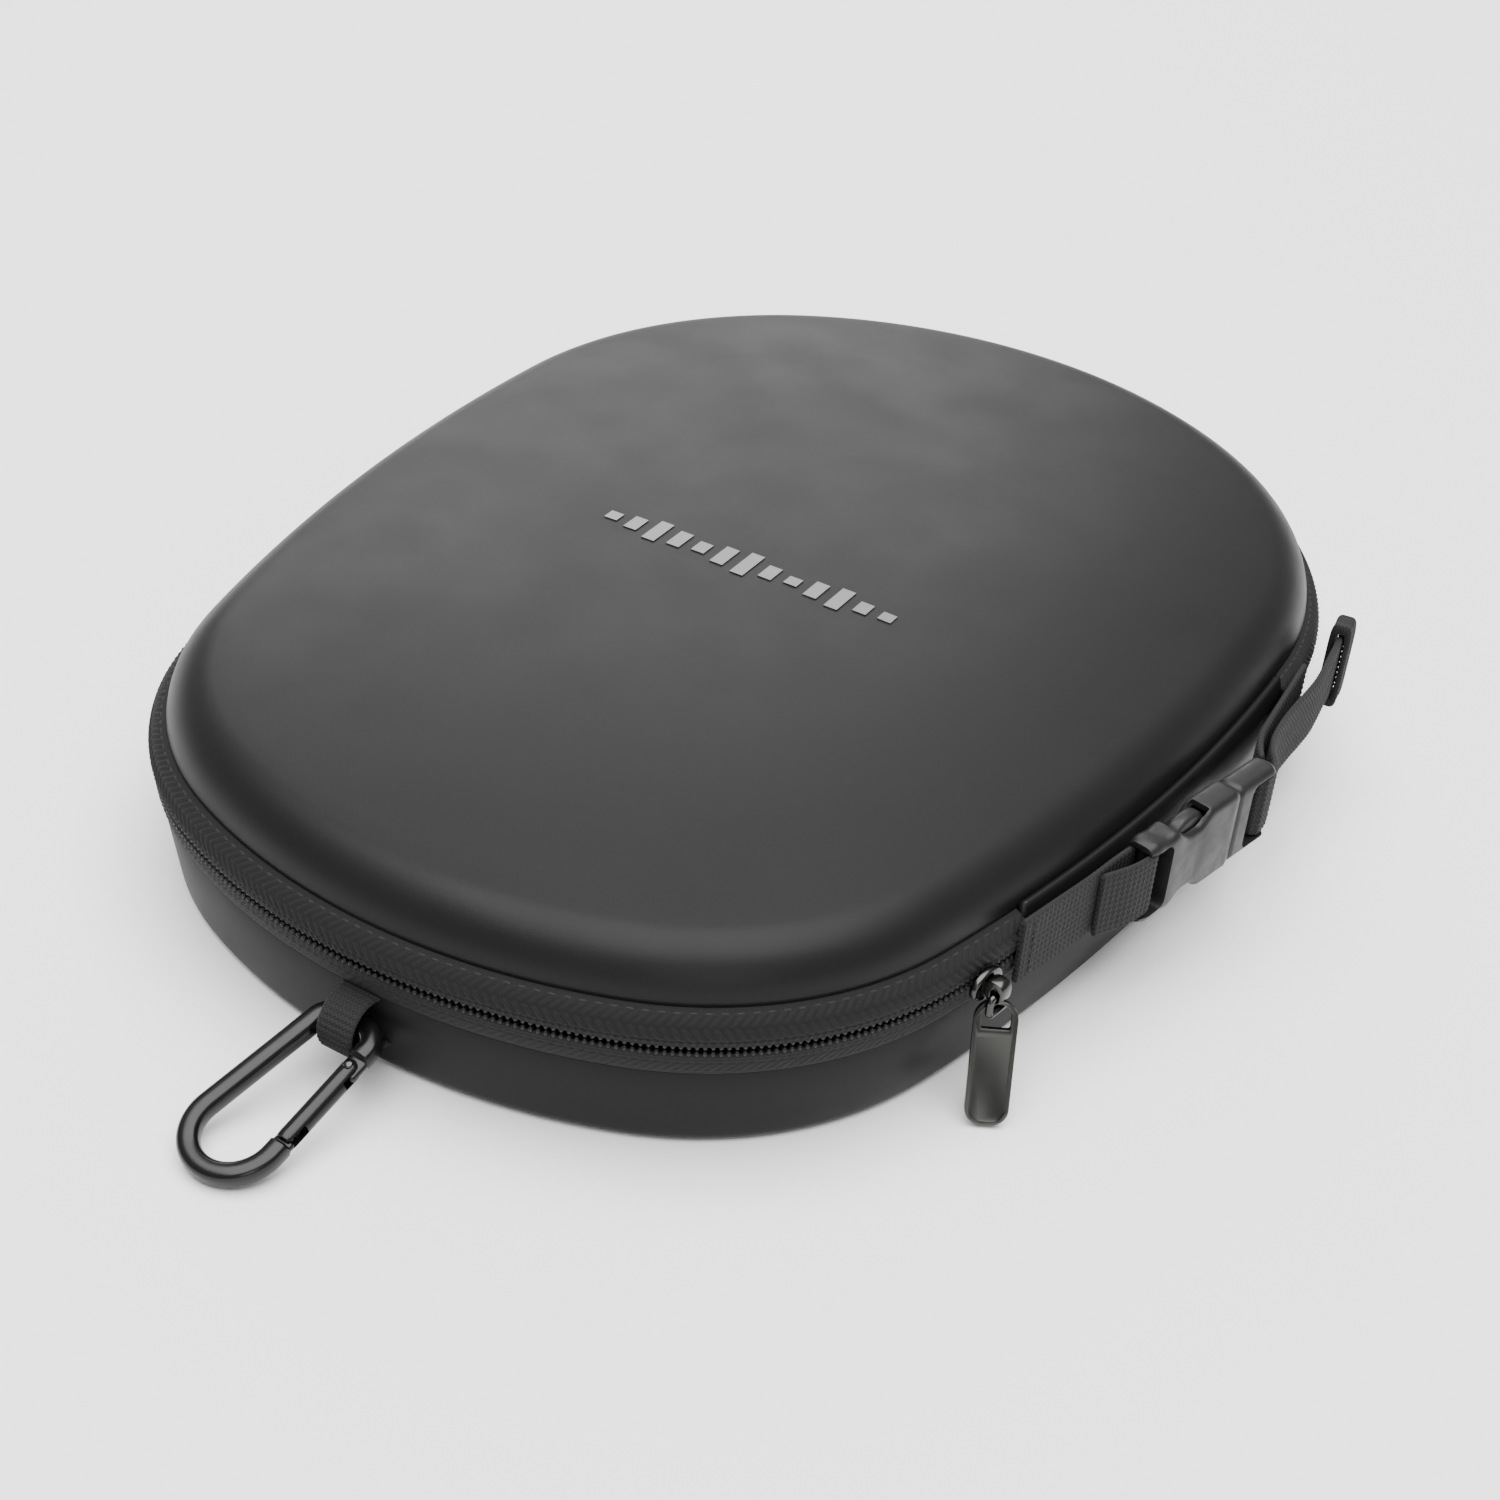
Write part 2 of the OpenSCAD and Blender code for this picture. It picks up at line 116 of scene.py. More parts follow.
def run_at_y(y):
    """The run on the +X side at which the outline passes a given y."""
    s = np.linspace(0, HALF_RUN, 4000)
    return float(s[np.argmin(abs(outline(s)[0][:, 1] - y))])


SPINE = (run_at_y(-61), run_at_y(38))

# ---- Heights, from the frame ----
TEETH_Z = 24.5
RIM_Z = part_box("base_skin")[1].z / MM
LID_EDGE_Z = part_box("lid_skin")[0].z / MM
LID_TOP_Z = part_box("lid_skin")[1].z / MM
LID_EDGE_IN = 2.75
SHOULDER_R = 10.5
SHOULDER_Z = 41.7
SHOULDER_TURN = 83  # degrees of arc over the lid's shoulder
CUP_R = 3.0
BASE_DRAFT = 3.7


# ---- Materials ----
class Nodes:
    """A material under construction: a Principled shader and the nodes that feed it."""

    def __init__(self, name, color, roughness, metallic=0.0):
        self.mat = bpy.data.materials.new(name)
        self.mat.use_nodes = True
        self.tree = self.mat.node_tree
        self.shader = self.tree.nodes["Principled BSDF"]
        self.shader.inputs["Base Color"].default_value = (*color, 1)
        self.shader.inputs["Roughness"].default_value = roughness
        self.shader.inputs["Metallic"].default_value = metallic
        self.normal = None

    def add(self, kind, **values):
        node = self.tree.nodes.new(kind)
        for key, value in values.items():
            if key in node.inputs:
                node.inputs[key].default_value = value
            else:
                setattr(node, key, value)
        return node

    def link(self, a, b):
        self.tree.links.new(a, b)

    def coords(self, kind="Object", scale=(1, 1, 1)):
        """Texture coordinates, in millimetres for Object, and as stored for UV."""
        tex = self.add("ShaderNodeTexCoord")
        mapping = self.add("ShaderNodeMapping")
        factor = 1 / MM if kind == "Object" else 1
        mapping.inputs["Scale"].default_value = [factor * x for x in scale]
        self.link(tex.outputs[kind], mapping.inputs["Vector"])
        return mapping.outputs["Vector"]

    def noise(self, coords, scale, detail=2.0, roughness=0.5):
        node = self.add("ShaderNodeTexNoise", Scale=scale, Detail=detail, Roughness=roughness)
        self.link(coords, node.inputs["Vector"])
        return node.outputs["Fac"]

    def voronoi(self, coords, scale):
        node = self.add("ShaderNodeTexVoronoi", Scale=scale, feature="DISTANCE_TO_EDGE")
        self.link(coords, node.inputs["Vector"])
        return node.outputs["Distance"]

    def math(self, kind, a, b=0.0, c=0.0):
        node = self.add("ShaderNodeMath", operation=kind)
        for socket, value in zip(node.inputs, (a, b, c)):
            if isinstance(value, (int, float)):
                socket.default_value = value
            else:
                self.link(value, socket)
        return node.outputs[0]

    def spread(self, value, low, high, out_low, out_high):
        node = self.add("ShaderNodeMapRange")
        for key, x in zip(("From Min", "From Max", "To Min", "To Max"), (low, high, out_low, out_high)):
            node.inputs[key].default_value = x
        self.link(value, node.inputs["Value"])
        return node.outputs["Result"]

    def tint(self, value, dark, light):
        node = self.add("ShaderNodeMix", data_type="RGBA")
        node.inputs[6].default_value = (*dark, 1)
        node.inputs[7].default_value = (*light, 1)
        self.link(value, node.inputs[0])
        self.link(node.outputs[2], self.shader.inputs["Base Color"])

    def specular(self, level):
        self.shader.inputs["Specular IOR Level"].default_value = level

    def rough(self, value):
        self.link(value, self.shader.inputs["Roughness"])

    def bump(self, height, distance_mm, strength=1.0):
        node = self.add("ShaderNodeBump", Strength=strength, Distance=distance_mm * MM)
        self.link(height, node.inputs["Height"])
        if self.normal is not None:
            self.link(self.normal, node.inputs["Normal"])
        self.normal = node.outputs["Normal"]
        self.link(self.normal, self.shader.inputs["Normal"])

    def sheen(self, weight, roughness=0.5):
        self.shader.inputs["Sheen Weight"].default_value = weight
        self.shader.inputs["Sheen Roughness"].default_value = roughness


def skin_material(name, color):
    m = Nodes(name, color, 0.42)
    at = m.coords()
    m.tint(m.spread(m.noise(at, 0.012, 2), 0.35, 0.65, 0, 1), [c * 0.96 for c in color], [c * 1.04 for c in color])
    m.rough(m.spread(m.noise(at, 0.05, 4), 0.3, 0.7, 0.39, 0.46))
    m.bump(m.spread(m.voronoi(at, 2.6), 0, 0.25, 0, 1), 0.012, 0.5)
    m.bump(m.noise(at, 7.0, 3), 0.008, 0.5)
    m.specular(0.14)
    return m.mat


def weave_material(name, color, pitch_u, pitch_v, rough, depth):
    """Plain weave on UVs in millimetres: the threads go over and under each other on a checker of their two pitches."""
    m = Nodes(name, color, rough)
    uv = m.coords("UV")
    parts = m.add("ShaderNodeSeparateXYZ")
    m.link(uv, parts.inputs[0])
    u, v = parts.outputs["X"], parts.outputs["Y"]
    wave_u = m.math("SINE", m.math("MULTIPLY", u, 2 * math.pi / pitch_u))
    wave_v = m.math("SINE", m.math("MULTIPLY", v, 2 * math.pi / pitch_v))
    height = m.math("MULTIPLY_ADD", m.math("MULTIPLY", wave_u, wave_v), 0.5, 0.5)
    fuzz = m.noise(m.coords(), 3.0, 3)
    # The colour is painted darker where the weave's height is low and lighter where it is high. That is painted shade
    # between the threads and a painted highlight on their crowns, with random fuzz tone mixed in.
    m.tint(m.spread(m.math("MULTIPLY_ADD", fuzz, 0.5, height), 0.2, 1.2, 0, 1), [c * 0.4 for c in color],
           [c * 1.6 for c in color])
    m.rough(m.spread(fuzz, 0.3, 0.7, rough - 0.07, rough + 0.07))
    m.bump(height, depth, 0.8)
    m.bump(fuzz, 0.03, 0.5)
    m.sheen(0.03)
    m.specular(0.22)
    return m.mat


def knit_material(name, color, pitch):
    m = Nodes(name, color, 0.95)
    at = m.coords()
    fuzz = m.noise(at, 1.6, 5, 0.65)
    m.tint(m.spread(fuzz, 0.35, 0.65, 0, 1), [c * 0.7 for c in color], [c * 1.3 for c in color])
    m.bump(m.voronoi(at, 1 / pitch), 0.06, 0.5)
    m.bump(fuzz, 0.05, 0.6)
    m.sheen(0.4)
    return m.mat


def plastic_material(name, color, rough):
    m = Nodes(name, color, rough)
    m.specular(0.28)
    at = m.coords()
    m.rough(m.spread(m.noise(at, 0.35, 3), 0.35, 0.65, rough - 0.05, rough + 0.06))
    m.tint(m.noise(at, 0.1, 2), [c * 0.9 for c in color], [c * 1.1 for c in color])
    m.bump(m.noise(at, 9.0, 2), 0.010, 0.5)
    return m.mat


def metal_material(name, color, rough, metallic=1.0, scratch=0.004, shine=0.5):
    m = Nodes(name, color, rough, metallic)
    m.specular(shine)
    at = m.coords()
    drawn = m.noise(m.coords(scale=(1, 1, 0.15)), 6.0, 3)
    m.rough(m.spread(m.noise(at, 0.2, 3), 0.35, 0.65, rough - 0.015, rough + 0.02))
    m.tint(m.noise(at, 0.1, 2), [c * 0.96 for c in color], [c * 1.04 for c in color])
    m.bump(drawn, scratch, 0.5)
    return m.mat


SKIN = skin_material("pu_skin", (0.0065, 0.0065, 0.0068))
SPINE_SKIN = skin_material("spine_skin", (0.007, 0.007, 0.0073))
LINING = knit_material("lining_knit", (0.018, 0.018, 0.019), 0.7)
TAPE = weave_material("zip_tape_weave", (0.0055, 0.0055, 0.0058), 0.55, 0.5, 0.8, 0.05)
BINDING = weave_material("binding_weave", (0.010, 0.010, 0.011), 0.8, 0.6, 0.85, 0.05)
WEBBING = weave_material("webbing_weave", (0.011, 0.011, 0.0115), 0.62, 1.1, 0.8, 0.12)
MESH = weave_material("pocket_mesh", (0.022, 0.022, 0.024), 1.5, 1.5, 0.85, 0.2)
THREAD = weave_material("stitch_thread", (0.016, 0.016, 0.017), 0.4, 0.4, 0.7, 0.03)
NYLON = plastic_material("zip_nylon", (0.006, 0.006, 0.0065), 0.42)
BUCKLE = plastic_material("buckle_acetal", (0.008, 0.008, 0.0085), 0.42)
ANODISED = metal_material("black_anodised", (0.004, 0.004, 0.0043), 0.24, 0.0, 0.0003, 0.28)
GUNMETAL = metal_material("gunmetal_plate", (0.055, 0.055, 0.052), 0.24, scratch=0.0005)
FOIL = metal_material("mark_foil", (0.16, 0.16, 0.165), 0.30)

# ---- Mesh makers ----


def linked(name, data):
    """A scene object over its data."""
    obj = bpy.data.objects.new(name, data)
    bpy.context.scene.collection.objects.link(obj)
    return obj


def box_mm(node):
    """The low and high corners of a CAD node, in millimetres."""
    return [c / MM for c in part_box(node)]


def piece(name, verts, faces, material, body, uvs=None, flat=False):
    """A mesh object from millimetre vertices, on its body. uvs holds one (u, v) for each corner of each face."""
    mesh = bpy.data.meshes.new(name)
    mesh.from_pydata((np.asarray(verts, float) * MM).tolist(), [], [list(map(int, f)) for f in faces])
    if uvs is not None:
        mesh.uv_layers.new(name="UVMap").data.foreach_set("uv", np.asarray(uvs, np.float32).ravel())
    mesh.materials.append(material)
    mesh.polygons.foreach_set("use_smooth", [not flat] * len(mesh.polygons))
    mesh.update()
    obj = linked(name, mesh)
    if body:
        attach(obj, body)
    return obj


def grid(points, closed_u, closed_v, s=None):
    """Quads over points[i][j] with UVs: u runs along i, by s where given, and v along j by its length."""
    nu, nv = points.shape[:2]
    along = np.linalg.norm(np.diff(points.mean(1), axis=0, append=points.mean(1)[:1]), axis=1)
    across = np.linalg.norm(np.diff(points[0], axis=0, append=points[0][:1]), axis=1)
    us = np.concatenate([[0], np.cumsum(along)]) if s is None else np.append(s, s[-1] + (s[1] - s[0]))
    vs = np.concatenate([[0], np.cumsum(across)])
    i, j = np.meshgrid(np.arange(nu if closed_u else nu - 1), np.arange(nv if closed_v else nv - 1), indexing="ij")
    i, j = i.ravel(), j.ravel()
    i1, j1 = (i + 1) % nu, (j + 1) % nv
    faces = np.stack([i * nv + j, i1 * nv + j, i1 * nv + j1, i * nv + j1], 1)
    uvs = np.stack([us[i], vs[j], us[i + 1], vs[j], us[i + 1], vs[j + 1], us[i], vs[j + 1]], 1).reshape(-1, 2)
    return faces, uvs


def capped(points, s=None, cap_axes=slice(1, 3)):
    """Faces and UVs of a tube over points[i][j] that is closed along j and has a cap at each end."""
    faces, uvs = grid(points, False, True, s)
    nv = points.shape[1]
    faces = [list(f) for f in faces] + [list(range(nv)), [(len(points) - 1) * nv + j for j in range(nv)][::-1]]
    return faces, np.concatenate([uvs, points[0][:, cap_axes], points[-1][::-1, cap_axes]])


def sideways(path):
    """The unit vector to the right of a flat path at each of its points."""
    tangent = np.gradient(path, axis=0)
    tangent /= np.linalg.norm(tangent, axis=1)[:, None]
    return np.stack([tangent[:, 1], -tangent[:, 0]], 1)


def travelled(path):
    """The distance along a path at each of its points."""
    return np.concatenate([[0], np.cumsum(np.linalg.norm(np.diff(path, axis=0), axis=1))])


def spaced(path, at):
    """The points of a flat path at given distances along it."""
    run = travelled(path)
    return np.stack([np.interp(at, run, path[:, k]) for k in (0, 1)], 1)


def squircle(n, power):
    """The x and y of n points round a unit circle that a power below 1 presses towards a square."""
    a = np.linspace(0, 2 * math.pi, n, endpoint=False)
    return [np.sign(f(a)) * abs(f(a)) ** power for f in (np.cos, np.sin)]


def ring_points(s, profile):
    """profile is (out, z) pairs, or an array of them for each s."""
    profile = np.asarray(profile, float)
    if profile.ndim == 2:
        profile = np.broadcast_to(profile, (len(s), *profile.shape))
    xy, away = outline(s)
    flat = xy[:, None, :] + profile[:, :, :1] * away[:, None, :]
    return np.concatenate([flat, profile[:, :, 1:]], 2)


def swept(name, span, step, profile, material, body):
    """A profile swept along the outline: all round where span is None, or from span[0] to span[1] with end caps."""
    whole = span is None
    length = RUN if whole else span[1] - span[0]
    n = int(round(length / step))
    s = np.linspace(0, length, n + (not whole), endpoint=not whole) + (0 if whole else span[0])
    made = profile(s) if callable(profile) else profile
    points = ring_points(s, made)
    faces, uvs = grid(points, whole, True, s)
    faces, uvs = [list(f)[::-1] for f in faces], uvs.reshape(-1, 4, 2)[:, ::-1].reshape(-1, 2)
    if not whole:
        nv = points.shape[1]
        faces += [list(range(nv)), [(len(s) - 1) * nv + j for j in range(nv)][::-1]]
        uvs = np.concatenate([uvs, points[0][:, 1:], points[-1][::-1, 1:]])
    return piece(name, points.reshape(-1, 3), faces, material, body, uvs)


def outside_spine():
    """The stretch of the outline that the zip runs along."""
    return SPINE[1] + 0.6, RUN + SPINE[0] - 0.6


def shell(name, rims, dome_out, dome_in, material, body):
    """A closed cup: rims is the profile from the outer dome's edge over the rim to the inner dome's edge, and the
    two domes are functions of f, from 1 at their edge to 0 in the middle, that give a height."""
    s = np.linspace(0, RUN, int(RUN / 2.4), endpoint=False)
    wall = ring_points(s, rims)
    inward = np.array([0.97, 0.93, 0.87, 0.79, 0.7, 0.6, 0.5, 0.4, 0.3, 0.2, 0.1])
    columns = []
    for edge, dome in ((wall[:, 0], dome_out), (wall[:, -1], dome_in)):
        rings = [np.stack([edge[:, 0] * f, edge[:, 1] * f, np.full(len(s), dome(f))], 1) for f in inward]
        columns.append(rings)
    points = np.stack([*columns[0][::-1], *[wall[:, j] for j in range(wall.shape[1])], *columns[1]], 1)
    faces, uvs = grid(points, True, False, s)
    nv, nu = points.shape[1], len(s)
    verts = np.concatenate([points.reshape(-1, 3), [[0, 0, dome_out(0)], [0, 0, dome_in(0)]]])
    fans = []
    for i in range(nu):
        i1 = (i + 1) % nu
        fans.append([i * nv, nu * nv, i1 * nv])
        fans.append([i * nv + nv - 1, i1 * nv + nv - 1, nu * nv + 1])
    fan_uv = np.array([verts[v][:2] for f in fans for v in f])
    return piece(name, verts, [list(f) for f in faces] + fans, material, body, np.concatenate([uvs, fan_uv]))


def turn_out(obj):
    """Faces outward, as a closed solid's are."""
    bm = bmesh.new()
    bm.from_mesh(obj.data)
    bmesh.ops.recalc_face_normals(bm, faces=bm.faces)
    bm.to_mesh(obj.data)
    bm.free()
    return obj


def circle_stops(centre, r, a0, a1, n):
    """Points on a circle, from 0 degrees towards the first axis to 90 towards the second."""
    return [(centre[0] + r * math.cos(a), centre[1] + r * math.sin(a)) for a in np.radians(np.linspace(a0, a1, n))]


# ---- The two shells ----


def wall_in(z):
    return BASE_DRAFT * (TEETH_Z - z) / TEETH_Z


def cup_profile(t_out, t_in):
    """The base's section between two depths below its surface."""
    sides = []
    for t, turn in ((t_out, (-90, -8)), (t_in, (-8, -90))):
        c_z = t + CUP_R
        sides.append([(-wall_in(c_z) - c_z + x, z) for x, z in circle_stops((0, c_z), CUP_R, *turn, 8)])
    edge, wall = 0.12, -wall_in(RIM_Z)
    rim = [(wall - t_out, RIM_Z - edge), (wall - t_out - edge, RIM_Z),
           (wall - t_in + edge, RIM_Z), (wall - t_in, RIM_Z - edge)]
    return sides[0] + rim + sides[1]


def level(z):
    return lambda f: z


def dome(edge_z, top_z, power=3):
    return lambda f: top_z - (top_z - edge_z) * f**power


def lid_profile(t_out, t_in, bottom):
    """The lid's section between two depths: up over the shoulder outside, and back down inside."""
    sides = []
    for t, sign in ((t_out, 1), (t_in, -1)):
        r = max(SHOULDER_R - t, 4.0)
        c_out, c_z = -LID_EDGE_IN - t - r, SHOULDER_Z - t - r * math.sin(math.radians(SHOULDER_TURN))
        sides.append(circle_stops((c_out, c_z), r, SHOULDER_TURN, 0, 12))
    edge = 0.35
    outer, inner = sides
    outer = [p for p in outer if p[1] > bottom + edge] + [(-LID_EDGE_IN - t_out, bottom + edge)]
    inner = [p for p in inner if p[1] > bottom + edge] + [(-LID_EDGE_IN - t_in, bottom + edge)]
    rim = [(-LID_EDGE_IN - t_out - edge, bottom), (-LID_EDGE_IN - t_in + edge, bottom)]
    return outer + rim + inner[::-1]


SHELL_T = 4.95
LINING_T = 0.75
LID_CROWN_Z = LID_TOP_Z - 0.02

base_shell = turn_out(shell("base_shell", cup_profile(0, SHELL_T), level(0), level(SHELL_T), SKIN, "base"))
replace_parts(base_shell, "base_skin", "base_core")
base_inner = turn_out(shell("base_inner_lining", cup_profile(SHELL_T + 0.05, SHELL_T + LINING_T),
                            level(SHELL_T + 0.05), level(SHELL_T + LINING_T), LINING, "base"))
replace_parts(base_inner, "base_lining")

lid_shell = turn_out(shell("lid_shell", lid_profile(0, SHELL_T, LID_EDGE_Z), dome(SHOULDER_Z, LID_CROWN_Z),
                           dome(SHOULDER_Z - SHELL_T, LID_CROWN_Z - SHELL_T), SKIN, "lid"))
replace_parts(lid_shell, "lid_skin", "lid_core")
lid_inner = turn_out(shell("lid_inner_lining", lid_profile(SHELL_T + 0.05, SHELL_T + LINING_T, LID_EDGE_Z),
                           dome(SHOULDER_Z - SHELL_T - 0.05, LID_CROWN_Z - SHELL_T - 0.05),
                           dome(SHOULDER_Z - SHELL_T - LINING_T, LID_CROWN_Z - SHELL_T - LINING_T),
                           LINING, "lid"))
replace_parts(lid_inner, "lid_lining")


def lid_height(x, y):
    """The lid's outer surface over (x, y), inside its shoulder."""
    edge_xy = outline(np.linspace(0, RUN, 720, endpoint=False), -LID_EDGE_IN - 0.878 * SHOULDER_R)[0]
    bearing = np.arctan2(edge_xy[:, 1], edge_xy[:, 0])
    k = np.argmin(abs(np.angle(np.exp(1j * (bearing - math.atan2(y, x))))))
    return dome(SHOULDER_Z, LID_CROWN_Z)(math.hypot(x, y) / np.linalg.norm(edge_xy[k]))


# ---- Zip tapes, with their herringbone in the mesh ----
TAPE_PITCH = 1.35
HERRINGBONE_PITCH = 1.8


def bulge(stops, n):
    """A smooth curve through a few (out, z) stops, evenly spaced along its length."""
    stops = np.asarray(stops, float)
    t = np.linspace(0, 1, len(stops))
    fine = np.linspace(0, 1, 200)
    coef = [np.polyfit(t, stops[:, k], min(len(stops) - 1, 4)) for k in (0, 1)]
    curve = np.stack([np.polyval(c, fine) for c in coef], 1)
    at = np.linspace(0, travelled(curve)[-1], n)
    return spaced(curve, at), at


def herringbone_tape(name, stops, n, columns, height, body, node, thickness=0.7):
    """A woven tape along the zip. columns lists the (v0, v1, slant) of its chevron columns, v in mm up its face."""
    face, v = bulge(stops, n)
    outward = sideways(face)

    def profile(s):
        lift = np.zeros((len(s), n))
        for v0, v1, slant in columns:
            inside = (v >= v0) & (v <= v1)
            edge = np.clip(np.minimum(v - v0, v1 - v) / 0.15, 0, 1)
            pitch = HERRINGBONE_PITCH if slant else TAPE_PITCH
            ribs = 0.5 + 0.5 * np.cos(2 * math.pi * (s[:, None] + slant * v[None, :]) / pitch)
            lift += np.where(inside, ribs * edge, 0)
        front = face[None] + (lift * height)[:, :, None] * outward[None]
        back = np.broadcast_to((face - thickness * outward)[::-1], front.shape)
        return np.concatenate([front, back], 1)

    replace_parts(turn_out(swept(name, outside_spine(), 0.34, profile, TAPE, body)), node)


herringbone_tape(
    "zip_tape_upper_woven",
    [(-0.05, TEETH_Z + 0.8), (0.5, TEETH_Z + 2.4), (0.1, TEETH_Z + 4.6), (-1.3, TEETH_Z + 6.3), (-2.95, TEETH_Z + 7.2)],
    34, [(1.9, 4.2, 1.0), (4.3, 6.8, -1.0), (0.15, 0.85, 0.0), (0.95, 1.7, 0.0)],
    0.34, "lid", "zip_tape_upper")
herringbone_tape(
    "zip_tape_lower_woven",
    [(-0.05, TEETH_Z - 0.8), (0.02, TEETH_Z - 2.0), (-0.32, TEETH_Z - 3.7), (-0.84, TEETH_Z - 5.72)][::-1],
    24, [(4.1, 4.8, 0.0), (3.3, 4.0, 0.0), (0.6, 3.0, -1.0)], 0.18, "base", "zip_tape_lower", 0.6)


def beads(name, z, body, node):
    """One row of zip elements: small rounded loops side by side at the tooth pitch."""
    s = np.arange(outside_spine()[0] + 1, outside_spine()[1] - 1, TAPE_PITCH)
    ball = bmesh.new()
    bmesh.ops.create_uvsphere(ball, u_segments=8, v_segments=6, radius=1)
    unit = np.array([v.co[:] for v in ball.verts])
    unit = np.sign(unit) * abs(unit) ** 0.75
    faces = [[v.index for v in f.verts] for f in ball.faces]
    ball.free()
    xy, away = outline(s, -0.55)
    along = np.stack([-away[:, 1], away[:, 0]], 1)
    out, run, up = np.split(unit[None] * (0.85, 0.46, 0.62), 3, 2)  # half sizes of an element
    flat = xy[:, None] + out * away[:, None] + run * along[:, None]
    verts = np.concatenate([flat, np.broadcast_to(z + up, (len(s), len(unit), 1))], 2)
    all_faces = [[k * len(unit) + v for v in f] for k in range(len(s)) for f in faces]
    obj = piece(name, verts.reshape(-1, 3), all_faces, NYLON, body)
    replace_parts(obj, node)


beads("zip_elements_lower", TEETH_Z - 0.75, "base", "zip_coil_lower")
beads("zip_elements_upper", TEETH_Z + 0.75, "lid", "zip_coil_upper")

# ---- The spine along the hinge side, from the base to the lid ----
spine_profile = [(-0.9, RIM_Z - 0.4), (-0.5, RIM_Z + 1.2), (-0.4, 23), (-0.4, 26), (-0.4, 28.5), (-0.5, 30),
                 (-0.8, 31.3), (-1.0, 32.2), (-1.25, 32.9), (-1.65, 33.2), (-2.15, 33.1), (-2.7, 32.7), (-2.85, 31.8),
                 (-3.0, 31.3), (-3.1, 30.2), (-3.2, 28), (-3.2, 25), (-3.2, 22), (-3.1, 19.8), (-2.2, RIM_Z + 0.15)]
spine = turn_out(swept("spine_strip", SPINE, 0.9, spine_profile, SPINE_SKIN, None))
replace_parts(spine, "hinge_spine")
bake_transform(spine)

# ---- Bindings, mesh pocket and elastic ----


def rounded_strip(out, z0, z1, t):
    """A flat strip's section with rounded edges, its outer face at `out`."""
    r = t / 2
    return circle_stops((out - r, z0 + r), r, -180, 0, 6) + circle_stops((out - r, z1 - r), r, 0, 180, 6)


half_x = max(abs(outline(np.linspace(0, HALF_RUN, 400))[0][:, 0]))
for body in ("base", "lid"):
    low, high = box_mm(f"{body}_binding")
    section = rounded_strip(high.x - half_x, low.z, high.z, 0.9)
    strip = turn_out(swept(f"{body}_binding_tape", None, 1.0, section, BINDING, body))
    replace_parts(strip, f"{body}_binding")

POCKET_MOUTH_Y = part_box("mesh_pocket")[1].y / MM
POCKET_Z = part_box("mesh_pocket")[0].z / MM
POCKET_IN = 10.1


def pocket_sheet():
    """The mesh pocket: a thin panel that sags a little between its sewn edge and its elastic mouth."""
    s0, s1 = -run_at_y(POCKET_MOUTH_Y), run_at_y(POCKET_MOUTH_Y)
    s = np.linspace(s0, s1, 161)
    edge = outline(s, -POCKET_IN)[0]
    centre = np.array([0, POCKET_MOUTH_Y])
    f = np.linspace(1, 0.001, 34)
    flat = centre + (edge - centre)[:, None] * f[None, :, None]
    sag = 0.9 * (1 - f[None, :] ** 2) * np.clip((POCKET_MOUTH_Y - flat[:, :, 1]) / 60, 0, 1)
    low = POCKET_Z - sag * 0.6
    bottom = np.concatenate([flat, low[:, :, None]], 2)
    top = np.concatenate([flat, low[:, :, None] + 0.5], 2)
    ring = np.concatenate([bottom, top[:, ::-1]], 1)
    faces, uvs = capped(ring)
    woven = np.array(faces[:-2]).ravel()
    uvs[:len(woven)] = ring.reshape(-1, 3)[woven, :2]
    obj = piece("mesh_pocket_panel", ring.reshape(-1, 3), faces, MESH, "lid", uvs)
    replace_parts(turn_out(obj), "mesh_pocket")


pocket_sheet()


def elastic_band():
    low, high = box_mm("pocket_elastic")
    x = np.arange(low.x + 1.0, high.x - 1.0, 0.5)
    y = np.linspace(low.y + 0.3, high.y, 15)
    xx, yy = np.meshgrid(x, y, indexing="ij")
    gather = 0.16 * np.cos(xx * 2 * math.pi / 2.2) * (0.6 + 0.4 * np.cos(yy * 2 * math.pi / 2.6))
    mid = (low.z + high.z) / 2
    top = np.stack([xx, yy, mid + 0.5 + gather], 2)
    bottom = np.stack([xx, yy, mid - 0.5 + gather], 2)
    ring = np.concatenate([bottom, top[:, ::-1]], 1)
    faces, uvs = capped(ring)
    obj = piece("pocket_elastic_band", ring.reshape(-1, 3), faces, BINDING, "lid", uvs)
    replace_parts(turn_out(obj), "pocket_elastic")


elastic_band()

# ---- The plain mark on the lid: level bars laid on its crown ----


def mark_bars():
    """Plain bars of several lengths in a row across the lid's crown."""
    heights = [3, 5, 8, 6, 4, 7, 9, 5, 3, 6, 8, 4, 3]
    low, high = box_mm("lid_mark")
    width, mid_y, nx, ny = 3.0, (low.y + high.y) / 2, 4, 8
    pitch = (high.x - low.x - width) / (len(heights) - 1)
    n = nx * ny
    cells = [[j * nx + i + d for d in (0, 1, nx + 1, nx)] for j in range(ny - 1) for i in range(nx - 1)]
    rim = ([*range(nx)] + [j * nx + nx - 1 for j in range(1, ny)]
           + [(ny - 1) * nx + i for i in range(nx - 2, -1, -1)] + [j * nx for j in range(ny - 2, 0, -1)])
    bar_faces = [q[::-1] for q in cells] + [[n + v for v in q] for q in cells]
    bar_faces += [[a, b, n + b, n + a] for a, b in zip(rim, rim[1:] + rim[:1])]
    verts, faces = [], []
    for k, h in enumerate(heights):
        faces += [[len(verts) + v for v in q] for q in bar_faces]
        for lift in (-0.05, 0.22):
            for y in np.linspace(mid_y - h / 2, mid_y + h / 2, ny):
                for x in low.x + k * pitch + np.linspace(0, width, nx):
                    verts.append((x, y, lid_height(x, y) + lift))
    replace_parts(piece("level_bars", verts, faces, FOIL, "lid", flat=True), "lid_mark")


mark_bars()

# ---- Webbing ----


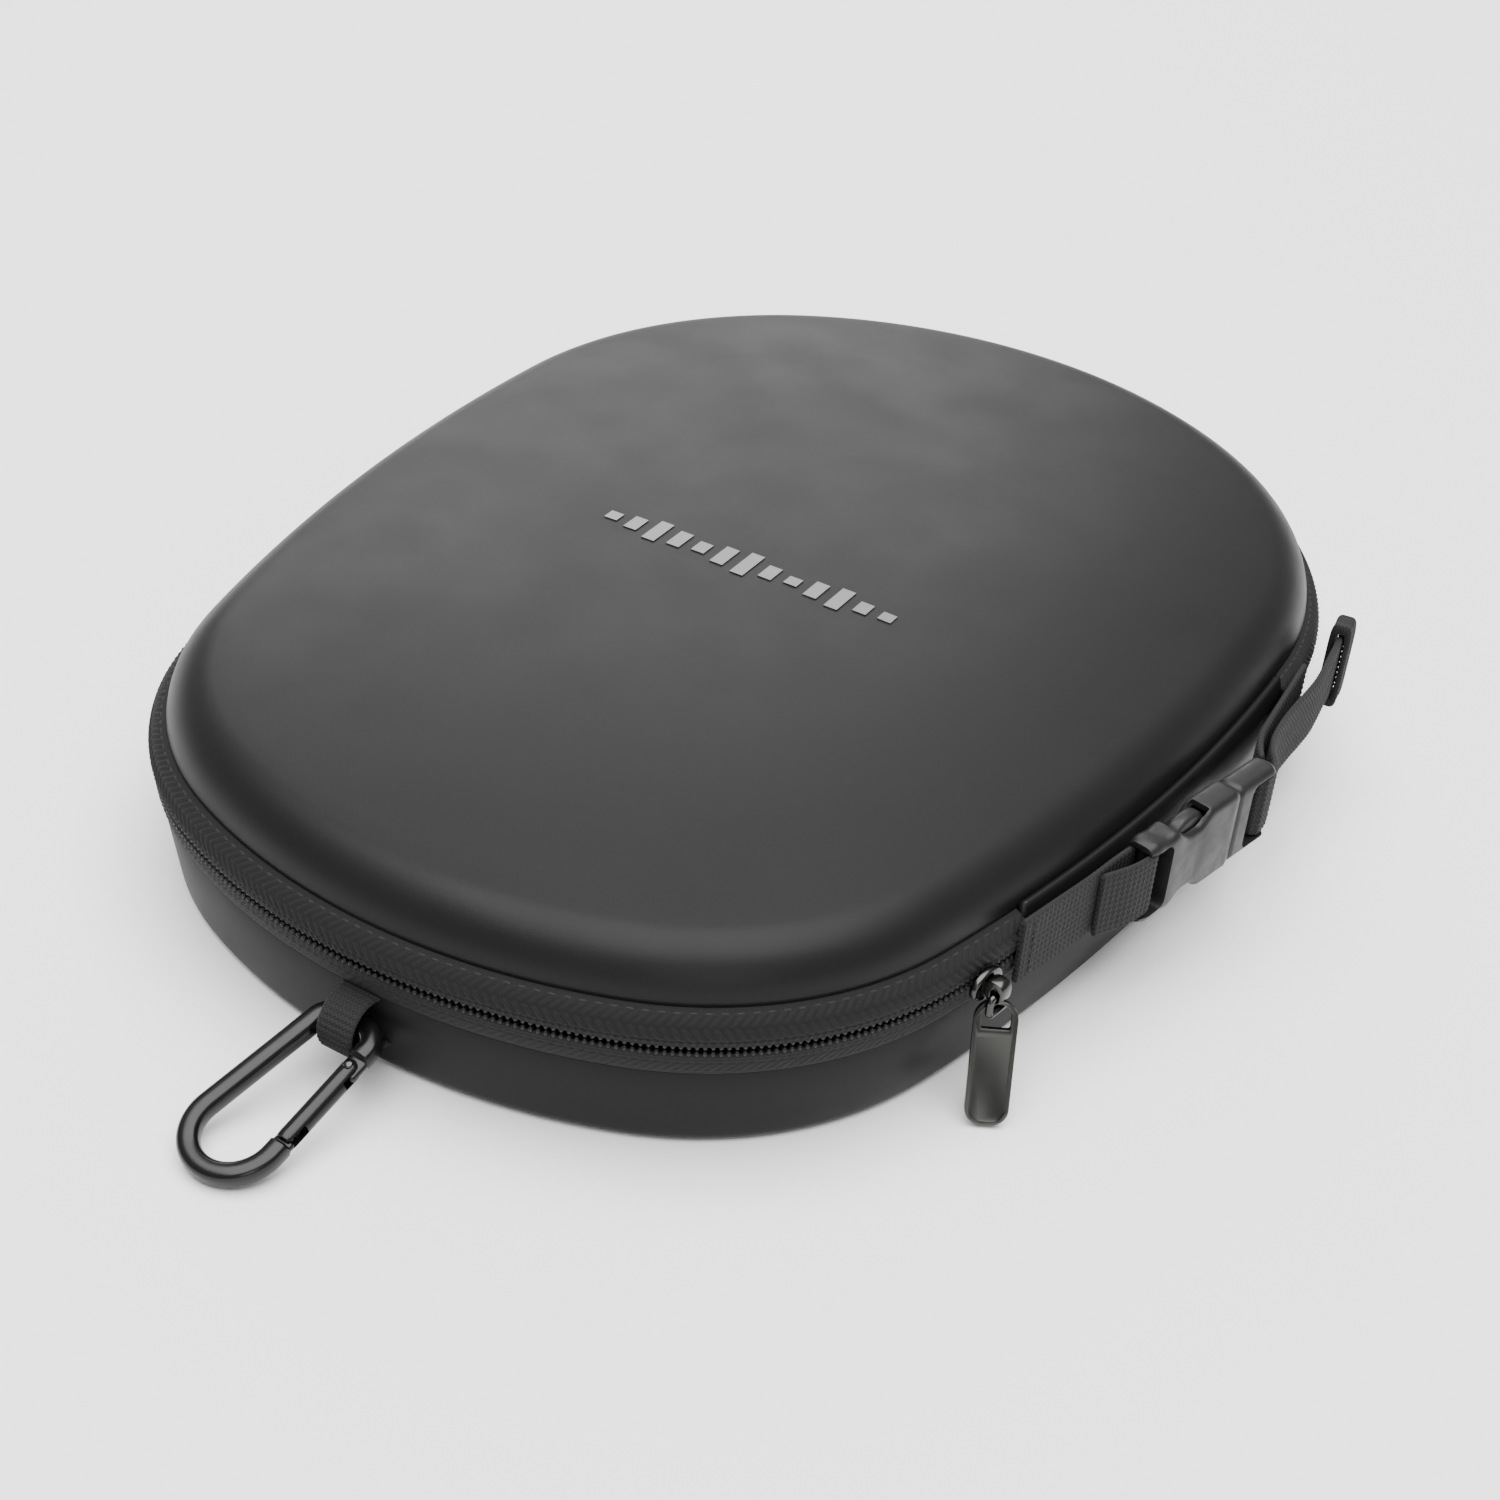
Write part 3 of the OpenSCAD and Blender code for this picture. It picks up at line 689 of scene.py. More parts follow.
def smooth_path(stops, step):
    """An even-stepped Catmull-Rom curve through the stops."""
    p = np.asarray(stops, float)
    p = np.concatenate([[2 * p[0] - p[1]], p, [2 * p[-1] - p[-2]]])
    t = np.linspace(0, 1, 40, endpoint=False)[:, None]
    parts = []
    for a, b, c, d in zip(p, p[1:], p[2:], p[3:]):
        parts.append(0.5 * (2 * b + (c - a) * t + (2 * a - 5 * b + 4 * c - d) * t**2 + (3 * b - a - 3 * c + d) * t**3))
    curve = np.concatenate([*parts, p[-2:-1]])
    length = travelled(curve)[-1]
    at = np.linspace(0, length, max(int(length / step), 4) + 1)
    return spaced(curve, at), at


def strap_section(width, t, rows):
    """A webbing's section as (side, up, weight of the weave): a flat band with rounded selvedges."""
    up = np.linspace(-width / 2 + t / 2, width / 2 - t / 2, rows)
    faces = [(t / 2, u, 1.0) for u in up] + [(-t / 2, u, 1.0) for u in up[::-1]]
    turn = np.radians([60, 90, 120])
    top = [(t / 2 * math.cos(a), width / 2 - t / 2 + t / 2 * math.sin(a), 0.0) for a in turn]
    low = [(-t / 2 * math.cos(a), -width / 2 + t / 2 - t / 2 * math.sin(a), 0.0) for a in turn]
    return np.array(faces[:rows] + top + faces[rows:] + low)


STRAP_Z, STRAP_W, STRAP_T = 26.0, 14.0, 1.3
RIB_ALONG, RIB_ACROSS, RIB_DEPTH = 1.25, 1.3, 0.3


def webbing(name, stops, body, node):
    """A band standing on edge along a path seen from above, woven in low relief."""
    path, s = smooth_path(stops, 0.25)
    side = sideways(path)
    section = strap_section(STRAP_W, STRAP_T, int(STRAP_W / 0.32))
    along = np.abs(np.cos(math.pi * s[:, None] / RIB_ALONG))
    weave = RIB_DEPTH * (along * (0.65 + 0.35 * np.cos(2 * math.pi * section[None, :, 1] / RIB_ACROSS)) - 0.6)
    across = section[None, :, 0] + np.sign(section[None, :, 0]) * section[None, :, 2] * weave
    flat = path[:, None] + across[:, :, None] * side[:, None]
    points = np.concatenate([flat, np.broadcast_to(STRAP_Z + section[None, :, 1:2], (*flat.shape[:2], 1))], 2)
    faces, uvs = capped(points, s)
    obj = turn_out(piece(name, points.reshape(-1, 3), faces, WEBBING, body, uvs))
    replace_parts(obj, node)
    return obj


BUCKLE_AT, BUCKLE_YAW = np.array([99.6, -34.0]), math.radians(-12)
ALONG = np.array([-math.sin(BUCKLE_YAW), math.cos(BUCKLE_YAW)])
ASIDE = np.array([math.cos(BUCKLE_YAW), math.sin(BUCKLE_YAW)])
BAR_NEAR, BAR_FAR, BAR_R = 1.4, 39.2, 1.15
WRAP_R = BAR_R + 0.25 + STRAP_T / 2


def from_buckle(x, y):
    return tuple(BUCKLE_AT + x * ASIDE + y * ALONG)


def wrap(y, a0, a1, n=9):
    return [from_buckle(WRAP_R * math.cos(a), y + WRAP_R * math.sin(a)) for a in np.radians(np.linspace(a0, a1, n))]


webbing("front_webbing",
        [(91.3, -65), (93.2, -56), (95.3, -46), from_buckle(-WRAP_R, -4), *wrap(BAR_NEAR, 180, 0),
         from_buckle(WRAP_R - 0.4, -4), (97.1, -44.5)], "base", "front_strap")
# Both bands behind the plug are drawn in close to the case, nearer to it than the CAD solids
rear = webbing("rear_webbing",
               [(106.1, 9.2), (104.6, 12.2), (103.2, 16.5), (102.5, 23), (101.9, 31), (101.3, 39), (100.8, 46)],
               "base", "rear_strap")
TAIL_BEND, TAIL_END = np.array([105.0, 44.0]), np.array([102.7, 64.0])
webbing("tail_webbing",
        [from_buckle(-WRAP_R, BAR_FAR + 3), *wrap(BAR_FAR, 180, 360), (109.3, 8.2), (107.2, 12.4), (105.6, 17.5),
         (104.95, 24), (104.9, 31), (105.1, 38), tuple(TAIL_BEND), tuple((TAIL_BEND + TAIL_END) / 2), tuple(TAIL_END)],
        "plug", "strap_tail")
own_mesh(rear)


def threads(name, starts, vectors, radius, body):
    """Stitches: short rounded threads, each from its start along its vector."""
    verts, faces, ring = [], [], 6
    stops = [(0.0, 0.15), (0.08, 0.75), (0.3, 1.0), (0.7, 1.0), (0.92, 0.75), (1.0, 0.15)]
    for start, vector in zip(np.asarray(starts, float), np.asarray(vectors, float)):
        u = vector / np.linalg.norm(vector)
        a = np.cross(u, [0, 0, 1.0] if abs(u[2]) < 0.9 else [1.0, 0, 0])
        a /= np.linalg.norm(a)
        b = np.cross(u, a)
        first = len(verts)
        for f, r in stops:
            for k in range(ring):
                w = 2 * math.pi * k / ring
                verts.append(start + f * vector + radius * r * (math.cos(w) * a + math.sin(w) * b))
        for j in range(len(stops) - 1):
            for k in range(ring):
                k1, near, far = (k + 1) % ring, first + j * ring, first + (j + 1) * ring
                faces.append([near + k, near + k1, far + k1, far + k])
        faces += [[first + k for k in range(ring)][::-1], [first + (len(stops) - 1) * ring + k for k in range(ring)]]
    piece(name, verts, faces, THREAD, body)


def fold_stitches():
    """Two upright rows through the front webbing's fold, and one where it is sewn to the case."""
    starts, vectors = [], []
    for x, y, out in ((97.1, -43.2, 0.95), (97.55, -40.8, 0.95), (91.9, -62.2, 0.72)):
        side = np.array([0.976, -0.216])
        for z in np.arange(STRAP_Z - 5.8, STRAP_Z + 5.4, 1.7):
            starts.append([x + out * side[0], y + out * side[1], z])
            vectors.append([0, 0, 1.25])
    threads("fold_stitches", starts, vectors, 0.2, "base")


fold_stitches()


def edge_stitches():
    """The row that sews the upper tape to the lid, just below the lid's edge."""
    s = np.arange(outside_spine()[0] + 2, outside_spine()[1] - 2, 2.7)
    first, _ = outline(s, -1.75)
    last, _ = outline(s + 1.5, -1.75)
    z = np.full((len(s), 1), LID_EDGE_Z - 0.35)
    start = np.concatenate([first, z], 1)
    threads("lid_edge_stitches", start, np.concatenate([last - first, 0 * z], 1), 0.24, "lid")


edge_stitches()


def keeper_loop():
    """The keeper at the tail's end: a ribbed elastic loop, a little wider at its top and foot."""
    low, high = box_mm("strap_keeper")
    direction = (TAIL_END - TAIL_BEND) / np.linalg.norm(TAIL_END - TAIL_BEND)
    side = np.array([direction[1], -direction[0]])
    centre = TAIL_END - 1.6 * direction
    rows, length, half_t, half_h = 13, 5.0, 2.15, (high.z - low.z) / 2 - 0.1
    cx, cz = squircle(64, 0.35)
    y = np.linspace(-length / 2, length / 2, rows)
    rib = 0.12 * np.cos(2 * math.pi * y / 1.0)
    flare = 1 + 0.03 * (2 * y / length) ** 2
    points = []
    for shrink, order in ((0.0, slice(None)), (1.1, slice(None, None, -1))):
        for k in range(rows)[order]:
            grow = rib[k] if shrink == 0 else 0
            x = (half_t - shrink + grow) * cx * flare[k]
            z = (half_h - shrink * 1.9 + grow) * cz * flare[k]
            flat = centre + y[k] * direction + x[:, None] * side
            points.append(np.concatenate([flat, (STRAP_Z + z)[:, None]], 1))
    points = np.stack(points, 1)
    faces, uvs = grid(points, True, True)
    obj = turn_out(piece("tail_keeper", points.reshape(-1, 3), faces, WEBBING, "keeper", uvs))
    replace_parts(obj, "strap_keeper")


keeper_loop()


def carabiner_webbing():
    """The sewn loop that holds the carabiner: it flares where it meets the wall."""
    low, high = box_mm("carabiner_loop")
    centre_x, r = (low.x + high.x) / 2, (high.z - low.z) / 2 - 0.6
    centre = np.array([-135.6, (low.z + high.z) / 2])
    legs = 3.8
    stops = [(legs, r), (legs * 0.5, r)] + circle_stops((0, 0), r, 90, 270, 13) + [(legs * 0.5, -r), (legs, -r)]
    path, s = smooth_path(stops, 0.25)
    normal = sideways(path)
    normal *= np.sign(np.sum(normal * path, 1))[:, None]
    width, t, n = high.x - low.x, 1.1, 24
    flare = np.clip(path[:, 0] / legs, 0, 1) ** 2
    points = []
    for k in range(len(s)):
        w = width + 2.6 * flare[k]
        across = np.concatenate([np.linspace(-w / 2, w / 2, n), np.linspace(w / 2, -w / 2, n)])
        edge = np.clip((w / 2 - abs(across)) / 0.35, 0.15, 1) ** 0.5
        ribs = 0.16 * (np.cos(2 * math.pi * s[k] / 1.05) - 0.4) * edge
        depth = np.repeat([t / 2, -t / 2], n) * edge + np.concatenate([ribs[:n], -0.3 * ribs[n:]])
        at = path[k] + depth[:, None] * normal[k]
        points.append(np.stack([centre_x + across, centre[0] + at[:, 0], centre[1] + at[:, 1]], 1))
    points = np.stack(points)
    faces, uvs = capped(points, s, slice(0, 2))
    obj = turn_out(piece("carabiner_webbing", points.reshape(-1, 3), faces, WEBBING, "base", uvs))
    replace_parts(obj, "carabiner_loop")


carabiner_webbing()

# ---- Carabiner ----
ROD_R, CARABINER_L, BAR_HALF, NARROW_R, WIDE_R = 2.0, 40.2, 2.2, 4.0, 8.25
GATE_X = BAR_HALF + NARROW_R
WIDE_C = np.array([GATE_X - WIDE_R, CARABINER_L - 2 * ROD_R - WIDE_R])
RIVET_Y, NOSE_Y = 8.2, WIDE_C[1] - 2.2
LOOP_AT = Vector((-0.5, -135.6, 12.5))
CARABINER_YAW = math.radians(-3.5)
CARABINER_PITCH = math.asin((LOOP_AT.z - ROD_R - 0.3) / (CARABINER_L - 2 * ROD_R))
CARABINER = (Matrix.Translation(LOOP_AT) @ Matrix.Rotation(CARABINER_PITCH, 4, "X")
             @ Matrix.Rotation(math.pi + CARABINER_YAW, 4, "Z") @ Matrix.Scale(-1, 4, (1, 0, 0)))


def placed(points, matrix):
    m = np.array(matrix)
    return np.asarray(points, float) @ m[:3, :3].T + m[:3, 3]


# ---- Moulded and cast pieces ----


def rounded_rect(hx, hz, r, n=5):
    points = []
    for cx, cz, a0 in ((hx - r, hz - r, 0), (-hx + r, hz - r, 90), (-hx + r, -hz + r, 180), (hx - r, -hz + r, 270)):
        points += circle_stops((cx, cz), r, a0, a0 + 90, n)
    return np.array(points)


def raw(verts, faces, matrix=Matrix()):
    mesh = bpy.data.meshes.new("raw")
    mesh.from_pydata((placed(verts, matrix) * MM).tolist(), [], [list(map(int, f)) for f in faces])
    return turn_out(linked("raw", mesh))


def loft(stations, matrix, n=5):
    """A solid along +Y from (y, half x, half z, corner radius, mid z) stations."""
    rings = []
    for y, hx, hz, r, mid in stations:
        xz = rounded_rect(hx, hz, min(r, hx * 0.98, hz * 0.98), n)
        rings.append(np.stack([xz[:, 0], np.full(len(xz), y), xz[:, 1] + mid], 1))
    points = np.stack(rings)
    return raw(points.reshape(-1, 3), capped(points)[0], matrix)


def bar(y0, y1, hx, hz, r, matrix, mid=0.0, soft=0.3):
    """A lofted bar with softened ends."""
    ends = ((0, 1), (0.3, 0.3), (1, 0))  # how far in and how much smaller, in units of soft
    stations = [(y0 + k * soft, hx - c * soft, hz - c * soft, r, mid) for k, c in ends]
    stations += [(y1 - k * soft, hx - c * soft, hz - c * soft, r, mid) for k, c in ends[::-1]]
    return loft(stations, matrix)


STANDING = Matrix(((0, 0, 1, 0), (1, 0, 0, 0), (0, 1, 0, 0), (0, 0, 0, 1)))  # puts a prism's XY plane in YZ


def prism(outline_xy, z0, z1, matrix):
    """A flat shape in its own XY plane, given thickness."""
    n = len(outline_xy)
    verts = [(*p, z) for z in (z0, z1) for p in outline_xy]
    faces = [[i, (i + 1) % n, n + (i + 1) % n, n + i] for i in range(n)] + [list(range(n))[::-1], list(range(n, 2 * n))]
    return raw(verts, faces, matrix)


def applied(obj):
    """The object with its modifiers made real."""
    bpy.context.view_layer.update()
    obj.data = bpy.data.meshes.new_from_object(obj.evaluated_get(bpy.context.evaluated_depsgraph_get()))
    obj.modifiers.clear()
    return obj


def carve(obj, *cutters):
    for cutter in cutters:
        modifier = obj.modifiers.new("cut", "BOOLEAN")
        modifier.object, modifier.operation, modifier.solver = cutter, "DIFFERENCE", "EXACT"
    applied(obj)
    for cutter in cutters:
        bpy.data.objects.remove(cutter)
    return obj


def softened(obj, width):
    modifier = obj.modifiers.new("edge", "BEVEL")
    modifier.width, modifier.segments, modifier.limit_method = width * MM, 3, "ANGLE"
    modifier.angle_limit, modifier.use_clamp_overlap = math.radians(40), True
    return applied(obj)


def solid(name, parts, material, body, slot, *nodes):
    """One object on its body from one or more overlapping parts."""
    bm = bmesh.new()
    for part in parts:
        bm.from_mesh(part.data)
        bpy.data.objects.remove(part)
    mesh = bpy.data.meshes.new(name)
    bm.to_mesh(mesh)
    bm.free()
    obj = linked(name, mesh)
    mesh.materials.clear()
    mesh.materials.append(material)
    mesh.polygons.foreach_set("material_index", [0] * len(mesh.polygons))
    mesh.polygons.foreach_set("use_smooth", [len(p.vertices) <= 4 for p in mesh.polygons])  # the flats stay flat
    mesh.set_sharp_from_angle(angle=math.radians(38))
    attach(obj, body)
    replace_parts(obj, *nodes)
    return obj


def rod_line():
    """The rod's centre line in its own plane, from the gate's pivot round to the nose."""
    spine_vec = WIDE_C - np.array([-BAR_HALF, NARROW_R])
    lean = math.degrees(math.asin((WIDE_R - NARROW_R) / np.linalg.norm(spine_vec))
                        - math.atan2(spine_vec[0], spine_vec[1]))
    line = [(GATE_X, RIVET_Y + 1.9)]
    line += circle_stops((BAR_HALF, NARROW_R), NARROW_R, 0, -90, 14)
    line += circle_stops((-BAR_HALF, NARROW_R), NARROW_R, -90, lean - 180, 14)
    line += circle_stops(WIDE_C, WIDE_R, 180 + lean, 0, 36)
    line += [(GATE_X, NOSE_Y - 1.4)]
    path = np.array(line)
    path = path[np.concatenate([[True], np.diff(travelled(path)) > 1e-6])]  # where two arcs meet, once
    return spaced(path, np.linspace(0, travelled(path)[-1], 260))


def carabiner_rod():
    """The rod, pressed a little flat on its faces and sides, and thinned where the gate's cheeks go over it."""
    path = rod_line()
    side = sideways(path)
    cx, cz = squircle(28, 0.72)
    run = np.linspace(0, 1, len(path))
    ends = np.clip(np.minimum(run, 1 - run) / 0.006, 0, 1) ** 0.5
    fork = (run < 0.5) & (path[:, 1] > RIVET_Y - 2.4)
    nose = (run >= 0.5) & (path[:, 1] < NOSE_Y + 0.1)
    thin = np.where((abs(path[:, 0] - GATE_X) < 0.05) & (fork | nose), 0.44, 1.0)
    flat = path[:, None] + (ROD_R * (0.2 + 0.8 * ends))[:, None, None] * cx[None, :, None] * side[:, None]
    z = (ROD_R * thin * (0.3 + 0.7 * ends))[:, None] * cz[None, :]
    points = np.concatenate([flat, z[:, :, None]], 2)
    obj = piece("carabiner_rod", placed(points.reshape(-1, 3), CARABINER), capped(points)[0], ANODISED, "carabiner")
    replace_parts(turn_out(obj), "carabiner_body")


def turned(name, profile, segments, matrix, body, node):
    """A solid turned about its own Z from (r, z) points, placed by a matrix."""
    a = np.linspace(0, 2 * math.pi, segments, endpoint=False)
    profile = np.asarray(profile, float)
    points = np.stack([profile[None, :, 0] * np.cos(a)[:, None], profile[None, :, 0] * np.sin(a)[:, None],
                       np.broadcast_to(profile[None, :, 1], (segments, len(profile)))], 2)
    faces, _ = grid(points, True, False)
    nv = len(profile)
    foot = [i * nv for i in range(segments)]
    faces = [list(f) for f in faces] + [foot, [i + nv - 1 for i in foot[::-1]]]
    obj = turn_out(piece(name, placed(points.reshape(-1, 3), matrix), faces, GUNMETAL, body))
    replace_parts(obj, node)


carabiner_rod()
RIVET = CARABINER @ Matrix.Translation((GATE_X, RIVET_Y, 0))
NOSE_PIN = CARABINER @ Matrix.Translation((GATE_X, NOSE_Y - 3, 0))


def head(r, half, crown):
    """The (r, z) section of a pin between two domed heads."""
    upper = [(r * 0.82, half - 0.15), (r, half), (r * 0.7, half + crown * 0.7), (0.15, half + crown)]
    return [(x, -z) for x, z in upper[::-1]] + upper


turned("gate_rivet_heads", head(0.95, ROD_R + 0.05, 0.25), 20, RIVET, "carabiner", "gate_rivet")
turned("nose_pin_heads", head(0.6, ROD_R - 0.2, 0.12), 16, NOSE_PIN, "gate", "gate_nose_pin")


def gate_tube():
    """The gate: a tube split at both ends, shown as two cheeks there, between the rivet and the nose."""
    length, r = NOSE_Y - 0.5 - RIVET_Y, ROD_R - 0.05
    y = np.array([-r * 0.97, -r * 0.8, -r * 0.45, 0, 2.9, 3.0, 3.1, 6, 9, 12,
                  *(length - k for k in (3.9, 3.8, 3.7, 1, 0.2, 0))])
    fat = np.array([0.25, 0.6, 0.9, *[1] * 11, 0.96, 0.85])[:, None]
    a = np.linspace(0, 2 * math.pi, 28, endpoint=False)
    points = np.stack([GATE_X + r * fat * np.cos(a), np.broadcast_to(RIVET_Y + y[:, None], (len(y), len(a))),
                       r * fat * np.sin(a)], 2)
    tube = raw(points.reshape(-1, 3), capped(points)[0], CARABINER)
    at = CARABINER @ Matrix.Translation((GATE_X, 0, 0))
    slots = [bar(y0, y1, 5, 1.22, 0.1, at, soft=0.05)
             for y0, y1 in ((RIVET_Y - 5, RIVET_Y + 3.3), (NOSE_Y - 4.6, NOSE_Y + 3))]
    solid("gate_tube", [softened(carve(tube, *slots), 0.15)], ANODISED, "gate", "anodised", "carabiner_gate")


gate_tube()

# ---- Side-release buckle ----
AT_BUCKLE = Matrix.Translation((*BUCKLE_AT, STRAP_Z)) @ Matrix.Rotation(BUCKLE_YAW, 4, "Z")
BUCKLE_T, BUCKLE_H, PLUG_Y0, SLOT_H = 6.4, 18.0, 28.3, 14.6


def socket_half(y):
    """The socket's half height: a waist behind its rails' tips and a scoop at the side windows."""
    scoop = math.exp(-(((y - 13.2) / 3.9) ** 4))
    tip = 0.5 * math.exp(-(((y - 5.2) / 2.2) ** 2))
    return BUCKLE_H / 2 - 2.3 * scoop - tip


stations = [(y, BUCKLE_T / 2 - 0.5 * max(0, 1 - y / 2.2) - 0.35 * max(0, (y - 26.6) / 1.4),
             socket_half(y) - 0.5 * max(0, 1 - y / 1.2) - 0.3 * max(0, (y - 26.8) / 1.2), 1.7, 0.0)
            for y in np.concatenate([[0, 0.3, 0.7, 1.2], np.arange(2, 26.6, 0.6), [26.8, 27.2, 27.7, 28.0]])]
end_cut = [(-1, -SLOT_H / 2), (4.6, -SLOT_H / 2)] + circle_stops((4.6, -SLOT_H / 2 + 2.0), 2.0, -90, 0, 8)
end_cut += circle_stops((4.6, SLOT_H / 2 - 2.0), 2.0, 0, 90, 8) + [(-1, SLOT_H / 2)]
socket = carve(loft(stations, AT_BUCKLE), prism(end_cut, -8, 8, AT_BUCKLE @ STANDING),
               bar(8.2, 40, 1.9, 7.7, 0.4, AT_BUCKLE, soft=0.05),
               *(bar(8.4, 18.6, 2.1, 2.0, 0.8, AT_BUCKLE, mid=z) for z in (9.4, -9.4)))
socket = softened(socket, 0.28)


def post(y):
    """A round bar across the buckle, for a strap."""
    a = np.linspace(0, 2 * math.pi, 24, endpoint=False)
    half = SLOT_H / 2 + 0.2
    return prism([(BAR_R * math.cos(k), y + BAR_R * math.sin(k)) for k in a], -half, half, AT_BUCKLE)


solid("buckle_socket_moulded", [socket, post(BAR_NEAR)], BUCKLE, "base", "plastic", "buckle_socket")

TONGUE = (BUCKLE_T - 2.6 - 0.6) / 2
PLUG_END, PLUG_NOSE = BAR_FAR + 2.4, 2.2  # where the plug ends, and the length that is rounded off there


def plug_station(y):
    """The plug head's section at y: eased at its face and rounded off at its outer end."""
    face = 0.45 * max(0, 1 - (y - PLUG_Y0) / 0.8)
    nose = max(0, (y - PLUG_END + PLUG_NOSE) / PLUG_NOSE) ** 2
    return y, BUCKLE_T / 2 - 0.2 - face - 1.3 * nose, BUCKLE_H / 2 - 0.3 - face - nose, 1.9, 0.0


plug_stations = [plug_station(y) for y in (PLUG_Y0, PLUG_Y0 + 0.3, PLUG_Y0 + 0.8,
                                           *np.arange(PLUG_Y0 + 1.4, PLUG_END - 2.3, 0.7),
                                           *np.linspace(PLUG_END - PLUG_NOSE, PLUG_END, 8))]
plug_cut = [(PLUG_END + 3, -SLOT_H / 2), (PLUG_END + 3, SLOT_H / 2)]
plug_cut += circle_stops((PLUG_Y0 + 6.0, SLOT_H / 2 - 1.8), 1.8, 90, 180, 8)
plug_cut += circle_stops((PLUG_Y0 + 6.0, -SLOT_H / 2 + 1.8), 1.8, 180, 270, 8)
plug = carve(loft(plug_stations, AT_BUCKLE), prism(plug_cut, -8, 8, AT_BUCKLE @ STANDING))
solid("buckle_plug_moulded",
      [softened(plug, 0.28), post(BAR_FAR), bar(9, PLUG_Y0 + 0.1, TONGUE, 0.9, 0.4, AT_BUCKLE),
       *(bar(PLUG_Y0 - 2.2, PLUG_Y0 + 0.1, TONGUE, 1.9, 0.3, AT_BUCKLE, z, 0.1) for z in (4.4, -4.4))],
      BUCKLE, "plug", "plastic", "buckle_plug")

# (y, inner edge, outer edge) along a prong's button, back to its root
PRESS = [(8.8, 4.6, 5.8), (9.1, 4.0, 6.7), (9.7, 3.5, 7.7), (10.6, 3.3, 8.3), (11.8, 3.3, 8.7), (13.3, 3.3, 8.9),
         (14.8, 3.3, 8.8), (16.4, 3.3, 8.6), (17.2, 3.3, 8.2), (17.7, 3.3, 7.6), (17.9, 3.3, 7.0), (18.0, 3.3, 5.5),
         (22, 3.3, 5.5), (25.6, 3.3, 5.5)]
for sign, side in ((1, "upper"), (-1, "lower")):
    press = loft([(y, TONGUE - 0.3 * (i == 0), (z1 - z0) / 2, 1.1, sign * (z0 + z1) / 2)
                  for i, (y, z0, z1) in enumerate(PRESS)], AT_BUCKLE, 7)
    solid(f"buckle_press_{side}", [press], BUCKLE, f"{side}_prong", "plastic", f"prong_{side}")

# ---- Zip slider, link and pull tab ----
AT_SLIDER = (Matrix.Translation((ARCS[1][0], ARCS[1][1], TEETH_Z)) @ Matrix.Rotation(math.radians(-9.5), 4, "Z")
             @ Matrix.Translation((ARC_RADII[1] + 0.4, 0, 0)))
SLIDER_L, PLATE_H = 8.5, 6.0
PIVOT = (4.9, 0, -0.6)
LINK_L, LINK_W, PIN_R = 3.6, 5.2, 0.7
oval = [(SLIDER_L / 2 * math.cos(a), PLATE_H / 2 * math.sin(a))
        for a in np.linspace(0, 2 * math.pi, 48, endpoint=False)]
plate = softened(prism(oval, 1.1, 2.6, AT_SLIDER @ STANDING), 0.5)
bridge = bar(-1.5, 1.5, 2.0, 2.2, 1.5, AT_SLIDER @ Matrix.Translation((4.4, 0, 0)), mid=0.15, soft=0.35)
hole = bar(-5, 5, 0.98, 1.3, 0.95, AT_SLIDER @ Matrix.Translation((PIVOT[0], 0, 0)), mid=-0.3, soft=0.05)
bridge = softened(carve(bridge, hole), 0.15)
inner_plate = bar(1 - SLIDER_L / 2, SLIDER_L / 2 - 1, 0.55, 1.6, 0.3,
                  AT_SLIDER @ Matrix.Translation((-4.35, 0, 0)), mid=-1.9)
solid("slider_cast", [plate, bridge, softened(inner_plate, 0.1)], GUNMETAL, "slider", "gunmetal", "zip_slider")


def link_rod():
    corner_r, half = 0.95, LINK_W / 2
    line = [(half, 0)] + circle_stops((-half + corner_r, -corner_r), corner_r, 90, 180, 7)
    line += circle_stops((-half + corner_r, -LINK_L + corner_r), corner_r, 180, 270, 7) + [(half, -LINK_L)]
    path, _ = smooth_path(line, 0.25)
    side = sideways(path)
    a = np.linspace(0, 2 * math.pi, 16, endpoint=False)
    n = len(path)
    ends = np.clip(np.minimum(np.arange(n), np.arange(n)[::-1]) / 2, 0.5, 1)
    yz = path[:, None] + (PIN_R * ends)[:, None, None] * np.cos(a)[None, :, None] * side[:, None]
    x = (PIN_R * ends)[:, None] * np.sin(a)[None]
    points = np.concatenate([x[:, :, None], yz], 2)
    return raw(points.reshape(-1, 3), capped(points)[0], AT_SLIDER @ Matrix.Translation(PIVOT))


solid("slider_link_wire", [link_rod()], GUNMETAL, "link", "gunmetal", "slider_link")

TAB_L, TAB_W, TAB_T, TAB_HEAD = 23.0, 7.8, 1.4, 1.85
TAB_PLANE = (AT_SLIDER @ Matrix.Translation((PIVOT[0], 0, PIVOT[2] - LINK_L))
             @ Matrix.Rotation(math.radians(-51.5), 4, "Z") @ Matrix.Rotation(math.radians(-22), 4, "Y") @ STANDING)


def tab_outline(half, top, foot, r_top, r_foot):
    """A plate's outline from foot to top, with a corner radius for each end."""
    corners = ((half - r_foot, foot + r_foot, r_foot, -90, 8), (half - r_top, top - r_top, r_top, 0, 12),
               (-half + r_top, top - r_top, r_top, 90, 12), (-half + r_foot, foot + r_foot, r_foot, 180, 8))
    return [point for x, y, r, a, n in corners for point in circle_stops((x, y), r, a, a + 90, n)]


